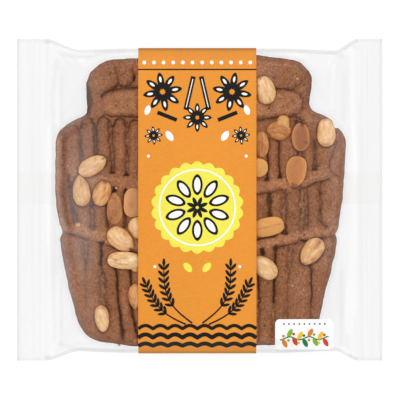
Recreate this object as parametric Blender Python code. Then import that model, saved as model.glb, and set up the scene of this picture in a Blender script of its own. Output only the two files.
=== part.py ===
"""Clear film pack that holds one moulded spiced biscuit slab with almonds, with a wide paper band.

The pack lies on its back, shown side up. Lengths here are millimetres, and the meshes are metres.
+X runs to the right of the shown side, +Y to its top edge and +Z up. The origin is on the ground
under the middle of the pack. The film is one closed body, drawn tight over the slab and its
almonds, and the band is a closed loop round the middle of it.
"""

import math

import bmesh
import bpy
import numpy as np

MM = 0.001

# The film tube, flattened into a crimped fin at each end
PACK_LENGTH = 285.0
FLAT_WIDTH = 251.0
BODY_WIDTH = 237.2
BODY_WAIST = 1.2
LEFT_FIN_DEPTH = 22.0
RIGHT_FIN_DEPTH = 19.0
LEFT_GATHER = 28.0
RIGHT_GATHER = 19.0
WAIST_REACH = 40.0
FIN_THICKNESS = 1.0
FILM_GAP = 0.3
SEAM_HEIGHT = 6.0
SIDE_ROUND = 6.0
SIDE_BULGE = 2.4
END_RISE = 12.0

# The biscuit slab inside, seen from above, clockwise from the middle of its top edge
SLAB_THICKNESS = 14.0
SLAB_SHOULDER = 8.0
SHOULDER_DROP = 5.0
SLAB_OUTLINE = [
    (0, 112), (45, 113), (64, 110), (78, 107), (85, 100), (87, 90), (85, 76),
    (97, 65.5), (104, 58), (111.5, 53), (114, 39), (112.5, 15), (109.5, -13), (106, -27),
    (107, -31), (101.5, -60), (96.5, -78), (92, -97), (87.5, -105), (80, -110), (66, -113),
    (0, -115), (-53, -114), (-72, -112), (-81, -110), (-87, -106), (-94, -97),
    (-99, -83), (-103, -64), (-109, -36), (-109.5, -24), (-112.5, 11), (-112.5, 34),
    (-111.5, 48), (-104, 58.5), (-95, 63.5), (-89, 67), (-88.5, 72), (-89, 90),
    (-85, 100), (-80, 104.5), (-72, 108.5), (-57, 110.5),
]

# Almonds on the slab: middle x and y, length, width, height above the slab, degrees from +X
ALMONDS = [
    (-83.5, 26.0, 24.2, 14.8, 3.8, 34),
    (-92.2, 6.6, 24.2, 14.8, 3.8, 100),
    (-76.6, 5.1, 21.0, 13.7, 3.6, 72),
    (-66.5, -6.8, 25.0, 12.1, 2.4, 86),
    (-51.7, -2.1, 23.0, 14.0, 2.8, 90),
    (-62.6, -30.1, 25.7, 16.4, 3.8, -30),
    (-48.2, -22.0, 21.0, 14.8, 3.6, 60),
    (-59.3, -47.4, 26.5, 14.4, 3.8, -4),
    (-49.2, -75.5, 21.5, 13.3, 3.2, 95),
    (-76.2, -92.8, 21.0, 11.5, 3.6, 93),
    (52.1, 85.5, 22.5, 14.8, 3.6, 104),
    (61.9, 54.5, 19.5, 15.0, 3.4, -15),
    (49.0, 42.5, 20.3, 11.0, 3.0, 95),
    (79.1, 48.9, 22.6, 14.3, 2.8, 90),
    (98.9, 52.1, 21.5, 14.8, 3.6, 90),
    (75.3, 22.1, 25.0, 16.0, 3.0, 84),
    (44.7, 25.2, 20.0, 14.4, 3.0, 0),
    (54.4, -21.1, 24.0, 14.0, 2.8, 13),
    (87.6, -40.0, 25.0, 15.2, 3.8, 52),
    (52.6, -53.2, 22.6, 15.6, 3.6, -42),
]

# The paper band, drawn tight round the film
BAND_WIDTH = 92.0
BAND_MIDDLE = -1.9
BAND_GAP = 0.3
BAND_THICKNESS = 0.3

# Facets: the spacing of the sections and of the points along each, and of the drape's grid
SECTION_STEP = 4.0
BAND_SECTIONS = 8
FIN_SECTIONS = 2
RIM_INSETS = (0.0, 0.6, 1.6, 3.2, 5.4, 8.4)
TOP_POINTS = 56
UNDER_POINTS = 6
OUTLINE_STEPS = 4
DRAPE_STEP = 2.5
DRAPE_ROUNDS = 1500
SMOOTH_ANGLE = math.radians(40)

BODY_HALF = BODY_WIDTH / 2
FLAT_HALF = FLAT_WIDTH / 2
LEFT_END = -PACK_LENGTH / 2
RIGHT_END = PACK_LENGTH / 2
BODY_LEFT = LEFT_END + LEFT_FIN_DEPTH
BODY_RIGHT = RIGHT_END - RIGHT_FIN_DEPTH
BAND_LEFT = BAND_MIDDLE - BAND_WIDTH / 2
BAND_RIGHT = BAND_MIDDLE + BAND_WIDTH / 2
BASE_HEIGHT = BAND_GAP + BAND_THICKNESS


def clear_scene():
    """Start from an empty scene."""
    for thing in list(bpy.data.objects):
        bpy.data.objects.remove(thing, do_unlink=True)


def ease(t):
    """Smooth step from 0 to 1."""
    t = np.clip(t, 0.0, 1.0)
    return t * t * (3.0 - 2.0 * t)


def into_body(x):
    """How far x lies inside the nearer fin's inner edge."""
    return np.minimum(x - BODY_LEFT, BODY_RIGHT - x)


def gather_share(x):
    """How much of the draw-in beside a fin is done at x: 0 at the fin, 1 in the body."""
    left = (x - BODY_LEFT) / LEFT_GATHER
    right = (BODY_RIGHT - x) / RIGHT_GATHER
    return ease(np.minimum(left, right))


def half_width(x):
    """Half the pack's width at x: flat film at the fins, drawn in round the biscuit."""
    waist = BODY_HALF - BODY_WAIST * (1.0 - ease(into_body(x) / WAIST_REACH))
    return FLAT_HALF + (waist - FLAT_HALF) * gather_share(x)


def smooth_loop(points, steps):
    """Closed Catmull-Rom curve through the points."""
    here = np.array(points, dtype=float)
    before = np.roll(here, 1, axis=0)
    after = np.roll(here, -1, axis=0)
    beyond = np.roll(here, -2, axis=0)
    t = (np.arange(steps) / steps)[:, None, None]
    curve = here + 0.5 * t * (after - before)
    curve = curve + 0.5 * t ** 2 * (2 * before - 5 * here + 4 * after - beyond)
    curve = curve + 0.5 * t ** 3 * (3 * here - before - 3 * after + beyond)
    return curve.transpose(1, 0, 2).reshape(-1, 2)


def depth_inside(loop, x, y):
    """Distance from each point to the loop, negative outside it."""
    nearest = np.full(x.shape, np.inf)
    inside = np.zeros(x.shape, dtype=bool)
    for (ax, ay), (bx, by) in zip(loop, np.roll(loop, -1, axis=0)):
        dx, dy = bx - ax, by - ay
        along = np.clip(((x - ax) * dx + (y - ay) * dy) / (dx * dx + dy * dy), 0.0, 1.0)
        nearest = np.minimum(nearest, np.hypot(x - ax - along * dx, y - ay - along * dy))
        if ay != by:
            crosses = ((ay > y) != (by > y)) & (x < ax + (y - ay) * dx / dy)
            inside ^= crosses
    return np.where(inside, nearest, -nearest)


def biscuit_height(x, y):
    """Height of the slab's top and its almonds above the ground, and 0 beside the slab."""
    depth = depth_inside(smooth_loop(SLAB_OUTLINE, OUTLINE_STEPS), x, y)
    shoulder = SHOULDER_DROP * (1.0 - np.clip(depth / SLAB_SHOULDER, 0.0, 1.0)) ** 2
    height = np.where(depth > 0, BASE_HEIGHT + SLAB_THICKNESS - shoulder, 0.0)
    for middle_x, middle_y, length, width, rise, degrees in ALMONDS:
        turn = math.radians(degrees)
        along = (x - middle_x) * math.cos(turn) + (y - middle_y) * math.sin(turn)
        across = (y - middle_y) * math.cos(turn) - (x - middle_x) * math.sin(turn)
        reach = 1.0 - (2 * along / length) ** 2 - (2 * across / width) ** 2
        almond = BASE_HEIGHT + SLAB_THICKNESS + rise * np.sqrt(np.maximum(reach, 0.0))
        height = np.where(reach > 0, np.maximum(height, almond), height)
    return height


def drape_film():
    """Grid of the taut film's height: a membrane held at the rim and borne up by the biscuit."""
    xs = np.linspace(LEFT_END, RIGHT_END, round(PACK_LENGTH / DRAPE_STEP) + 1)
    ys = np.linspace(-FLAT_HALF, FLAT_HALF, round(FLAT_WIDTH / DRAPE_STEP) + 1)
    x, y = np.meshgrid(xs, ys, indexing="ij")
    support = biscuit_height(x, y) + FILM_GAP
    held = (into_body(x) <= 0) | (np.abs(y) >= half_width(x))
    height = np.where(held, SEAM_HEIGHT, np.maximum(support, SEAM_HEIGHT))
    for _ in range(DRAPE_ROUNDS):
        mean = np.full(height.shape, SEAM_HEIGHT)
        mean[1:-1, 1:-1] = (height[:-2, 1:-1] + height[2:, 1:-1] + height[1:-1, :-2] + height[1:-1, 2:]) / 4
        height = np.where(held, SEAM_HEIGHT, np.maximum(mean, support))
    return xs, ys, height


def film_top(drape, x, y):
    """Height of the draped film at one x and an array of y, read between the grid's points."""
    xs, ys, height = drape
    place = np.interp(x, xs, np.arange(len(xs)))
    first = min(int(place), len(xs) - 2)
    row = height[first] + (place - first) * (height[first + 1] - height[first])
    return np.interp(y, ys, row)


def ring(drape, x):
    """Closed section of the pack at x, as y and z: over the top, then back along the underside."""
    half = half_width(x)
    middle = np.linspace(RIM_INSETS[-1] - half, half - RIM_INSETS[-1], TOP_POINTS)
    insets = np.array(RIM_INSETS)
    across = np.concatenate([insets - half, middle[1:-1], (half - insets)[::-1]])
    inset = half - np.abs(across)
    edge = np.clip(inset / SIDE_ROUND, 0.0, 1.0)
    swell = np.sqrt(1.0 - (1.0 - edge) ** 2) * (1.0 - edge)
    top = film_top(drape, x, across) + SIDE_BULGE * gather_share(x) * swell
    top = np.where(inset > 0, np.maximum(top, SEAM_HEIGHT + FIN_THICKNESS / 2), SEAM_HEIGHT)

    middle = np.linspace(half - RIM_INSETS[-1], RIM_INSETS[-1] - half, UNDER_POINTS)
    back = np.concatenate([half - insets[1:], middle[1:-1], (insets[1:] - half)[::-1]])
    edge = np.clip((half - np.abs(back)) / SIDE_ROUND, 0.0, 1.0)
    fin_under = SEAM_HEIGHT - FIN_THICKNESS / 2
    base = fin_under + (BASE_HEIGHT - fin_under) * ease(into_body(x) / END_RISE)
    under = base + (fin_under - base) * (1.0 - np.sqrt(1.0 - (1.0 - edge) ** 2))
    return np.column_stack([np.concatenate([across, back]), np.concatenate([top, under])])


def section_places():
    """The x of every section: close together beside the band, and further apart under it."""
    left_count = round((BAND_LEFT - BODY_LEFT) / SECTION_STEP)
    right_count = round((BODY_RIGHT - BAND_RIGHT) / SECTION_STEP)
    return np.concatenate([
        np.linspace(LEFT_END, BODY_LEFT, FIN_SECTIONS + 1)[:-1],
        np.linspace(BODY_LEFT, BAND_LEFT, left_count + 1)[:-1],
        np.linspace(BAND_LEFT, BAND_RIGHT, BAND_SECTIONS + 1)[:-1],
        np.linspace(BAND_RIGHT, BODY_RIGHT, right_count + 1)[:-1],
        np.linspace(BODY_RIGHT, RIGHT_END, FIN_SECTIONS + 1),
    ])


def convex_loop(points):
    """The tight loop round a set of y, z points, anticlockwise."""
    points = sorted(set(map(tuple, points)))

    def chain(run):
        kept = []
        for point in run:
            while len(kept) > 1 and turn_of(kept[-2], kept[-1], point) <= 0:
                kept.pop()
            kept.append(point)
        return kept[:-1]

    return np.array(chain(points) + chain(points[::-1]))


def turn_of(first, second, third):
    """Positive where the way from first through second to third turns left."""
    return ((second[0] - first[0]) * (third[1] - first[1])
            - (second[1] - first[1]) * (third[0] - first[0]))


def offset_loop(loop, distance):
    """An anticlockwise convex loop moved out by a distance, with its corners mitred."""
    way = np.roll(loop, -1, axis=0) - loop
    way = way / np.linalg.norm(way, axis=1)[:, None]
    outward = np.column_stack([way[:, 1], -way[:, 0]])
    previous = np.roll(outward, 1, axis=0)
    mitre = (outward + previous) / (1.0 + np.sum(outward * previous, axis=1))[:, None]
    return loop + distance * mitre


def at_x(x, section):
    """A section's y and z as points in metres at x."""
    return [(x * MM, y * MM, z * MM) for y, z in section]


def loft(name, rings, closed):
    """One mesh object skinned over rings of points; closed joins the last ring to the first."""
    mesh = bpy.data.meshes.new(name)
    shape = bmesh.new()
    loops = [[shape.verts.new(point) for point in points] for points in rings]
    following = loops[1:] + loops[:1] if closed else loops[1:]
    for here, there in zip(loops, following):
        for i in range(len(here)):
            j = (i + 1) % len(here)
            shape.faces.new((here[i], here[j], there[j], there[i]))
    if not closed:
        shape.faces.new(loops[0][::-1])
        shape.faces.new(loops[-1])
    bmesh.ops.recalc_face_normals(shape, faces=shape.faces)
    shape.to_mesh(mesh)
    shape.free()
    mesh.shade_smooth()
    mesh.set_sharp_from_angle(angle=SMOOTH_ANGLE)
    thing = bpy.data.objects.new(name, mesh)
    bpy.context.collection.objects.link(thing)
    return thing


def paint(thing, colour, roughness, alpha=1.0):
    """Give an object its own material."""
    material = bpy.data.materials.new(thing.name)
    material.use_nodes = True
    surface = material.node_tree.nodes["Principled BSDF"]
    surface.inputs["Base Color"].default_value = (*colour, 1.0)
    surface.inputs["Roughness"].default_value = roughness
    surface.inputs["Metallic"].default_value = 0.0
    surface.inputs["Alpha"].default_value = alpha
    thing.data.materials.append(material)


def make_bag(drape):
    """The sealed film pack with what fills it, as one closed body with a fin at each end."""
    rings = [at_x(x, ring(drape, x)) for x in section_places()]
    bag = loft("bag", rings, closed=False)
    paint(bag, (0.86, 0.87, 0.88), 0.15, alpha=0.35)


def make_band(drape):
    """The paper band, drawn tight: its section is the tightest loop round the film under it."""
    beneath = [ring(drape, x) for x in section_places() if BAND_LEFT <= x <= BAND_RIGHT]
    loop = convex_loop(np.round(np.vstack(beneath), 3))
    inner = offset_loop(loop, BAND_GAP)
    outer = offset_loop(loop, BAND_GAP + BAND_THICKNESS)
    rings = [at_x(BAND_LEFT, outer), at_x(BAND_RIGHT, outer), at_x(BAND_RIGHT, inner), at_x(BAND_LEFT, inner)]
    band = loft("band", rings, closed=True)
    paint(band, (0.86, 0.34, 0.035), 0.5)


def main():
    clear_scene()
    drape = drape_film()
    make_bag(drape)
    make_band(drape)


main()
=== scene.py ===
"""Looks of a clear film pack with a moulded spiced biscuit slab and almonds inside.

Lengths here are millimetres in the pack's own frame, and the meshes are metres. The film is a thin
clear tube draped over the slab, the slab is one mesh with its ribs and hoops in relief, and the
almonds, the paper band, its print, the small panel and the back seal are pieces of their own.
"""

import math

import bmesh
import bpy
import numpy as np
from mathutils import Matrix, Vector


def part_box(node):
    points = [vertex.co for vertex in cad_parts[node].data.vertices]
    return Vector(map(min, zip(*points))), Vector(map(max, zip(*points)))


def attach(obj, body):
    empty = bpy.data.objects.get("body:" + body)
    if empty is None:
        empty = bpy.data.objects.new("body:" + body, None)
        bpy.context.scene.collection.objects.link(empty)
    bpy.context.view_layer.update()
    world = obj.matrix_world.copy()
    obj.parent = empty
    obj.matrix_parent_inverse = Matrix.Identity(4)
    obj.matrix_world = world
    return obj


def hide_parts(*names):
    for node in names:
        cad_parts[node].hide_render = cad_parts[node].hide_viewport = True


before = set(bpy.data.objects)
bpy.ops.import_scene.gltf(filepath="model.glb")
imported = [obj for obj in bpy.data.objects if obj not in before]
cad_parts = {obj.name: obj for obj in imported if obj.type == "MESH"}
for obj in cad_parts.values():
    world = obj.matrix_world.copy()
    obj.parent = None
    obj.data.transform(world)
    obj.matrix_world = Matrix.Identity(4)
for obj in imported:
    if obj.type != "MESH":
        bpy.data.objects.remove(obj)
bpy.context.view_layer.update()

MM = 0.001


def in_mm(corner):
    """A corner of a box as millimetres."""
    return np.array(corner, dtype=float) / MM


BAG_LOW, BAG_HIGH = map(in_mm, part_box("bag"))
BAND_LOW, BAND_HIGH = map(in_mm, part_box("band"))

# The film tube, flattened into a crimped fin at each end
LEFT_END = BAG_LOW[0]
RIGHT_END = BAG_HIGH[0]
FLAT_HALF = BAG_HIGH[1]
BASE_HEIGHT = BAG_LOW[2]
SEAM_HEIGHT = 6.0
LEFT_FIN_DEPTH = 22.0
RIGHT_FIN_DEPTH = 19.0
FIN_THICKNESS = 0.5
CRIMP_PITCH = 1.9
CRIMP_HEIGHT = 0.16
BODY_LEFT = LEFT_END + LEFT_FIN_DEPTH
BODY_RIGHT = RIGHT_END - RIGHT_FIN_DEPTH

# The tube's body: half its width, how much narrower it is near the fins and how far along x that
# reaches, how far its middle line lies below the fins', and how far along x the film is drawn in
BODY_HALF = 118.6
BODY_WAIST = 2.0
WAIST_REACH = 65.0
BODY_DROP = 0.75
LEFT_GATHER = 28.0
RIGHT_GATHER = 19.0

# How far in its sides are round and how much they bulge, and how far along x its back rises
SIDE_ROUND = 6.0
SIDE_BULGE = 2.4
END_RISE = 12.0

# The film's gap over the slab and almonds, and the grid on which it is drawn taut
FILM_GAP = 0.35
DRAPE_STEP = 1.5
DRAPE_ROUNDS = 3000

# The film's mesh: spacing of its sections in the body and at the crimps, points across its top and
# its back, and how far inside its side edges the closest rows of points lie
FILM_STEP = 1.25
CRIMP_STEP = 0.48
TOP_POINTS = 176
BACK_POINTS = 34
RIM_INSETS = np.array([0.0, 0.15, 0.5, 1.0, 1.7, 2.6, 3.7, 5.0, 6.6, 8.4])
FILM_SHARP = 50

# How much the film dims what is behind it, where it has no fold: at the fins, less at their seal,
# over the body with clouds of more and less, on the back, and on the back seal and its two lines
LEFT_FIN_VEIL = 0.07
RIGHT_FIN_VEIL = 0.11
SEAL_CLEARS = 0.05
BODY_VEIL = 0.09
BODY_CLOUDS = 0.1
BACK_VEIL = 0.08
SEAL_VEIL = 0.02
SEAL_LINE_VEIL = 0.3

# More of it: in fine lines along y and at the fins' hems, with painted shade at the sides' edge and seam
# where the film turns down, and a painted shadow beside the slab
LINES_VEIL = 0.07
HEM_VEIL = 0.22
EDGE_SHADE = 0.35
SEAM_SHADE = 0.55
SLAB_SHADOW_ON_FILM = 0.3

# The light that it lets through where it dims nothing and where it dims most, and the back seal's
FILM_TINTS = ((0.995, 0.995, 0.995), (0.74, 0.745, 0.75))
SEAL_TINTS = ((1.0, 0.995, 0.99), (0.93, 0.92, 0.90))

# How milky the film is at least: on its top, its back and its back seal
TOP_HAZE = 0.006
BACK_HAZE = 0.003
SEAL_HAZE = 0.004
# Painted sheen over the slab, as more of that milkiness: at the left and its rim, on the cap, and at the
# right and its rim
LEFT_SHEEN = 0.1
LEFT_RIM_SHEEN = 0.07
CAP_SHEEN = 0.02
RIGHT_SHEEN = 0.016
RIGHT_RIM_SHEEN = 0.06

# The back seal: a flat fold of film along the back, from y to y, how far below the back it lies,
# and the line near each of its edges
SEAL_LOW = -3.3
SEAL_HIGH = 21.6
SEAL_DROP = 0.12
SEAL_LINE = (0.5, 1.8)
SEAL_POINTS = 14

# The paper band: points round its section, and rows of them, closest at its side edges
BAND_LEFT = BAND_LOW[0]
BAND_RIGHT = BAND_HIGH[0]
BAND_MIDDLE = (BAND_LEFT + BAND_RIGHT) / 2
BAND_THICKNESS = 0.3
BAND_GAP = 0.3
BAND_POINTS = 700
BAND_SMOOTHINGS = 14
BAND_INSETS = np.array([0, 0.8, 1.8, 3])
BAND_ROWS = 20
BAND_ROWS_INSET = 4
BAND_SHARP = 40
BAND_COLOUR = (244, 155, 53)
# Painted shade on it where it folds down at its +Y and -Y ends, beside those folds and at its side edges
TOP_FOLD_SHADE = 1.1
BOTTOM_FOLD_SHADE = 0.75
BESIDE_FOLD_SHADE = 0.14
SIDE_EDGE_SHADE = 0.1

# The slab: heights of its back, its top and the foot of its rounded shoulder, and how far in and
# how square that shoulder is
SLAB_BOTTOM = BASE_HEIGHT + 0.35
SLAB_TOP = BASE_HEIGHT + 13.7
SLAB_EDGE = 4.2
SHOULDER_REACH = 5.5
SHOULDER_POWER = 2.7
# Its side wall below that: how far out and how high each ring of points is, and its brightness
SLAB_WALL = [(0.15, 3.2), (0.1, 2.2), (-0.5, 1.4), (-1.3, SLAB_BOTTOM)]
WALL_LIGHT = 0.8
SLAB_SHARP = 60
# Spacing of its points where it shows and under the band, and how far in under it they are close
SLAB_STEP = 0.6
HIDDEN_STEP = 2.4
HIDDEN_MARGIN = 4
# Its outline clockwise from the middle of the top edge, and steps between its points
OUTLINE_STEPS = 8
SLAB_OUTLINE = [
    (0, 112), (25, 112.8), (45.5, 113), (55, 111.7), (64, 110.3), (73, 109), (78, 107),
    (82, 104), (85.3, 99.6), (87, 95), (87.3, 90), (86.8, 83), (85.3, 77), (86, 73), (89, 69.3),
    (97, 65.5), (102.5, 62), (104.4, 58), (106, 56), (108.5, 56), (111.5, 52), (113.7, 46),
    (113.7, 38), (112.8, 25), (112, 6), (110.9, -3), (108, -22), (105.9, -26.7), (106.8, -31.4),
    (106, -41), (103, -53), (98.9, -69), (95.4, -83), (92.1, -97), (88.3, -103.5), (82, -108.6),
    (73.5, -111.6), (64, -112.7), (50, -113.5), (23, -114.5), (0, -115), (-27, -114.7),
    (-53, -114), (-71.6, -111.8), (-81, -109.9), (-87, -106.3), (-91.3, -101.6), (-94.3, -97),
    (-98.6, -83), (-103.2, -64), (-107, -45.4), (-108.9, -31.4), (-107.3, -25.2), (-109.8, -17),
    (-111.2, -8), (-112.4, 1.4), (-112.8, 22), (-112.4, 43), (-111.5, 48.5), (-109, 53.8),
    (-104.3, 58.3), (-97, 62.6), (-89.3, 66.6), (-88, 71.5), (-88.4, 81), (-88.4, 89), (-87.2, 95),
    (-85.2, 99.6), (-80.3, 104.3), (-76, 107), (-71, 108.8), (-62, 110), (-39, 111),
]

# Creases between the ribs, lobes, collar and hoops: depth, height of the crumbly ridge that lies
# in a wide one, and its line as x, y and half width
CREASES = [
    (1.1, 0, [(-108, 51, .4), (-104, 56.5, .4), (-100, 58.5, .5), (-96, 57, .5), (-93.3, 52, .7)]),
    (1.7, .3, [(-93.3, 52, .7), (-92.7, 43, .8), (-92.2, 35, .9), (-91.5, 24, .8)]),
    (1.2, 0, [(-92.8, 55, .4), (-91, 62, .5), (-87.5, 64.3, .5), (-84, 62.8, .5), (-82.5, 58, .7)]),
    (2.0, .3, [(-81.9, 58, 1.1), (-81.5, 50, 1.4), (-81.4, 40, 1.4), (-81.2, 24, 1.1)]),
    (1.4, 0, [(-80.2, 57, .6), (-78.6, 63, .5), (-75, 65, .5), (-71.6, 63.2, .6), (-70.2, 58, .7)]),
    (2.1, .6, [(-70, 60, 1.4), (-69.3, 54, 1.6), (-69, 44, 1.6), (-68.2, 36, 1.4),
               (-67.6, 29, 1.2), (-67.9, 22, 1.1)]),
    (1.4, 0, [(-66.9, 57, .6), (-65.6, 61.8, .6), (-62.2, 63.5, .6), (-58.9, 62, .6), (-57.6, 57, .7)]),
    (1.4, .9, [(-57, 60, .9), (-56.6, 50, .9), (-56.5, 38, .9), (-56.6, 21, .9)]),
    (1.3, 0, [(-55.3, 55, .5), (-53.9, 60.2, .6), (-50.5, 62, .6), (-46, 61.6, .6)]),
    (0.5, 0, [(-105.4, 54, 1.1), (-105.8, 40, 1.3), (-105.8, 20, 1.3), (-104.8, 0, 1.2), (-103, -18, .9)]),
    (1.7, 0, [(53.4, 48, .3), (52.9, 35, .4), (52.5, 17, .6)]),
    (1.5, 0, [(58, 50, .2), (61.6, 44.5, .4), (61.6, 31, .3), (62.4, 18, .5)]),
    (1.3, 0, [(65.7, 59.5, .5), (68.8, 63.6, .5), (73.5, 65, .6), (78.2, 63.3, .6), (80.6, 58, .9)]),
    (2.0, .7, [(75.6, 60, 1.1), (76.6, 46, 1.4), (78, 38, 2.3), (78, 30, 2.3), (77, 18, 1.5)]),
    (1.8, .5, [(88.9, 46, .4), (89.6, 40, 1.0), (89.6, 25, 1.2)]),
    (0.9, 0, [(106.3, 45, .3), (104.2, 37, .4), (101.3, 30.2, .4), (101, 24.4, .4), (104, 19.7, .3),
              (108.6, 18.3, .3)]),
    (1.1, 0, [(43.7, 4, .7), (51, 5.4, .5), (55.6, 5.7, .5), (61.8, 7.4, .5), (67.3, 7.6, .5)]),
    (1.2, 0, [(76.9, 8.1, .4), (82.7, 9.6, .5), (90.5, 13.2, .6), (94.6, 14, .8), (98.5, 15.5, .5),
              (101.2, 16.6, .3)]),
    (1.7, .3, [(-102.4, 19, .5), (-101.6, 12, .8), (-100.3, 4, 1.0), (-98.5, -5, 1.3), (-96.4, -18, 1.6)]),
    (1.8, .6, [(-84.3, 2, 1.1), (-83.8, -9, 1.3), (-83.3, -22, 1.4)]),
    (1.3, 0, [(-72.5, 2, .7), (-72.8, -8, .7), (-71.3, -21.5, .9)]),
    (1.2, 0, [(-58.7, 6, .6), (-58.4, -9, .9), (-57.9, -22, 1.0)]),
    (2.3, 0, [(-67.5, 6.5, .6), (-65.5, 9, .7)]),
    (1.6, 0, [(53.7, 4.6, 1.5), (53.9, -4, 1.4), (54.4, -12, 1.3), (54.8, -18, 1.1)]),
    (1.8, 1.1, [(65.3, 6, 1.6), (65.7, -8, 2.0), (65.9, -17, 1.6), (66.1, -25.5, 1.3)]),
    (1.4, 1.3, [(79.2, 7, 1.8), (79.9, -4, 2.2), (79.8, -18, 2.2), (79.2, -24, 1.8)]),
    (0.9, 0, [(83.3, 7.6, .4), (84.7, -9.6, .5), (84, -23.3, .5)]),
    (1.6, .5, [(93, 12.3, .6), (93.9, -4.9, .8), (93.6, -17, 1.0)]),
    (0.9, 0, [(93.9, -17, .9), (97, -20, .9), (99.5, -21, .6)]),
    (2.3, 0, [(78.8, -31.8, .6), (81.5, -31.9, .9), (84.5, -32.3, .8)]),
    (1.0, 0, [(89.1, -30.8, .5), (97.3, -29.4, .5), (105.9, -27.6, .4)]),
    (1.3, 0, [(57.4, -37.2, .5), (69.1, -35.3, .6), (76.9, -33.2, .5)]),
    (1.2, 0, [(43.9, -31.6, .6), (49.3, -30.1, .6), (57.9, -28.1, .6)]),
    (1.1, 0, [(-108.2, -24.7, .5), (-98.5, -27.4, .6), (-92, -29.6, .5), (-86.5, -31.2, .2)]),
    (0.5, 0, [(-86.5, -31.2, .3), (-80, -32.6, .3)]),
    (0.7, 0, [(-76, -34, .5), (-68.4, -36.9, .4), (-57.5, -40, .4), (-48.2, -41.5, .5)]),
    (1.3, .8, [(-88.8, -32.5, 1.9), (-88.6, -41, 1.4), (-88.7, -51, .4)]),
    (0.4, 0, [(-88.7, -50, .3), (-89.3, -64, .4), (-88.2, -82, .25)]),
    (2.1, 0, [(-77.0, -34.4, .9), (-76.8, -38, .8), (-76.6, -45, .8), (-76.9, -51.5, .9)]),
    (0.5, 0, [(-76.9, -51, .7), (-78.9, -56.5, .4), (-78.4, -63, .4), (-77.2, -80, .4)]),
    (1.0, 0, [(-76.9, -51, .7), (-74.4, -58, .4), (-72.6, -69, .3)]),
    (1.7, 1.2, [(-76.2, -56, .8), (-75.6, -64, 1.9), (-75.2, -76, 2.1), (-73, -88, 1.2)]),
    (2.0, 0, [(-66.9, -49, .8), (-64.3, -58, .7), (-64, -70, .6), (-63.6, -80, .6), (-61.7, -90, .8),
              (-59.9, -109, 1.2)]),
    (1.9, 0, [(-53.9, -48.6, .8), (-53.2, -66, .8), (-52.9, -87, .6), (-50.5, -96, .9), (-47.5, -107, 1.0)]),
    (2.6, 0, [(48.9, -39.4, 1.4), (49.2, -42.8, 1.4)]),
    (1.7, 0, [(45, -54, .5), (46, -72, .6), (45.6, -84, .3)]),
    (0.7, .3, [(45.6, -84, .5), (45.3, -110, .6)]),
    (2.0, 0, [(58.8, -37.5, 1.4), (58.7, -42, .6), (58.5, -50, .6), (57.9, -66, .7), (57.5, -80, .6)]),
    (0.9, .6, [(57.5, -82, .8), (57, -98, 1.0)]),
    (0.5, 0, [(57, -98, .4), (56, -111, .3)]),
    (1.2, .9, [(70.8, -36.3, 1.8), (70, -50, 1.8), (69, -56, 1.0)]),
    (0.6, .3, [(69, -56, .8), (68.3, -65, .5), (67.9, -90, .4)]),
    (1.8, 0, [(85.8, -50, .4), (87.2, -56, .4), (86.6, -64.5, .3), (87.7, -72, .4), (86.5, -82, .2)]),
    (0.6, 0, [(86.5, -82, .3), (86.2, -95, .2)]),
    (1.7, 0, [(-76.9, 80.3, .2), (-75, 82.8, .4), (-70.8, 84.9, .7), (-66.1, 87, .9), (-63.3, 90.3, .6)]),
    (0.7, 0, [(-63.3, 90.3, .7), (-64.1, 95.7, .5), (-66.1, 102, .5), (-68.3, 107.5, .5)]),
    (1.4, 0, [(-62.6, 89.3, .9), (-60, 87.2, .7), (-56, 87.7, .7), (-52.8, 90.3, .5)]),
    (0.8, 0, [(-52.8, 90.3, .5), (-51.3, 94.2, .5), (-52.4, 101, .3)]),
    (2.6, 0, [(-50.9, 97.5, .4), (-51, 92.6, .5)]),
    (1.4, 0, [(-76.6, 80.1, .3), (-70.8, 84.2, .4), (-59.6, 86.6, .6), (-48.2, 87.4, .7), (0, 88.3, .6),
              (44, 87, .4), (58, 86.6, .2), (66, 86, .4), (73.4, 84.8, .3)]),
    (1.1, 0, [(-74.5, 66.5, .3), (-68.4, 64.9, .6), (-59.6, 65.2, .6), (-48.2, 64.3, .6), (0, 63, .7),
              (44, 61.8, .7), (59.2, 63.8, .7), (69, 64.4, .7), (75.4, 66.3, .5)]),
    (0.8, 0, [(73.4, 84.8, .3), (77.3, 82.5, .3), (80.2, 78.6, .2), (80.6, 74.1, .2), (79.3, 69.6, .3),
              (75.4, 66.3, .4)]),
    (1.9, 0, [(-88, 93, .2), (-87, 85, .8), (-85.8, 77, 1.6), (-86.4, 71, 1.3), (-87.6, 67, .2)]),
    (1.2, 0, [(84.8, 101, .2), (86.3, 92, .4), (86, 83, .5), (84.8, 76, .5)]),
    (0.7, 0, [(60, 86.5, .3), (64, 86.2, .5), (72, 85.8, .5), (77.8, 89.7, .5), (82.3, 95.4, .5),
              (83.2, 100.2, .3)]),
]
# Wedges at the ends of creases, darkened with painted shade: middle of the flat end, half width, and length
# up or down
WEDGES = [
    (-68.3, 20.6, 1.7, 4), (-57, 18.6, 2.1, 4), (52.4, 14.8, 2.1, 4), (62.4, 16.9, 1.9, 4),
    (89.6, 23.4, 2.2, 5), (66.1, -26.6, 2.5, 4), (-76.8, -33.2, 2.5, -4), (58.9, -37.4, 1.9, -4),
    (48.6, -38.4, 1.7, -5), (-66.6, 6.8, 1.2, 4), (-57.6, 6.2, 1.2, 3),
]
# Rows of creases hidden under the band: first and last shown x beside it, count, top and bottom
HIDDEN_ROWS = [(-56.2, 52.9, 7, 61, 14), (-58.2, 54, 7, -2, -28), (-53, 45.5, 6, -45, -112)]
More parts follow.
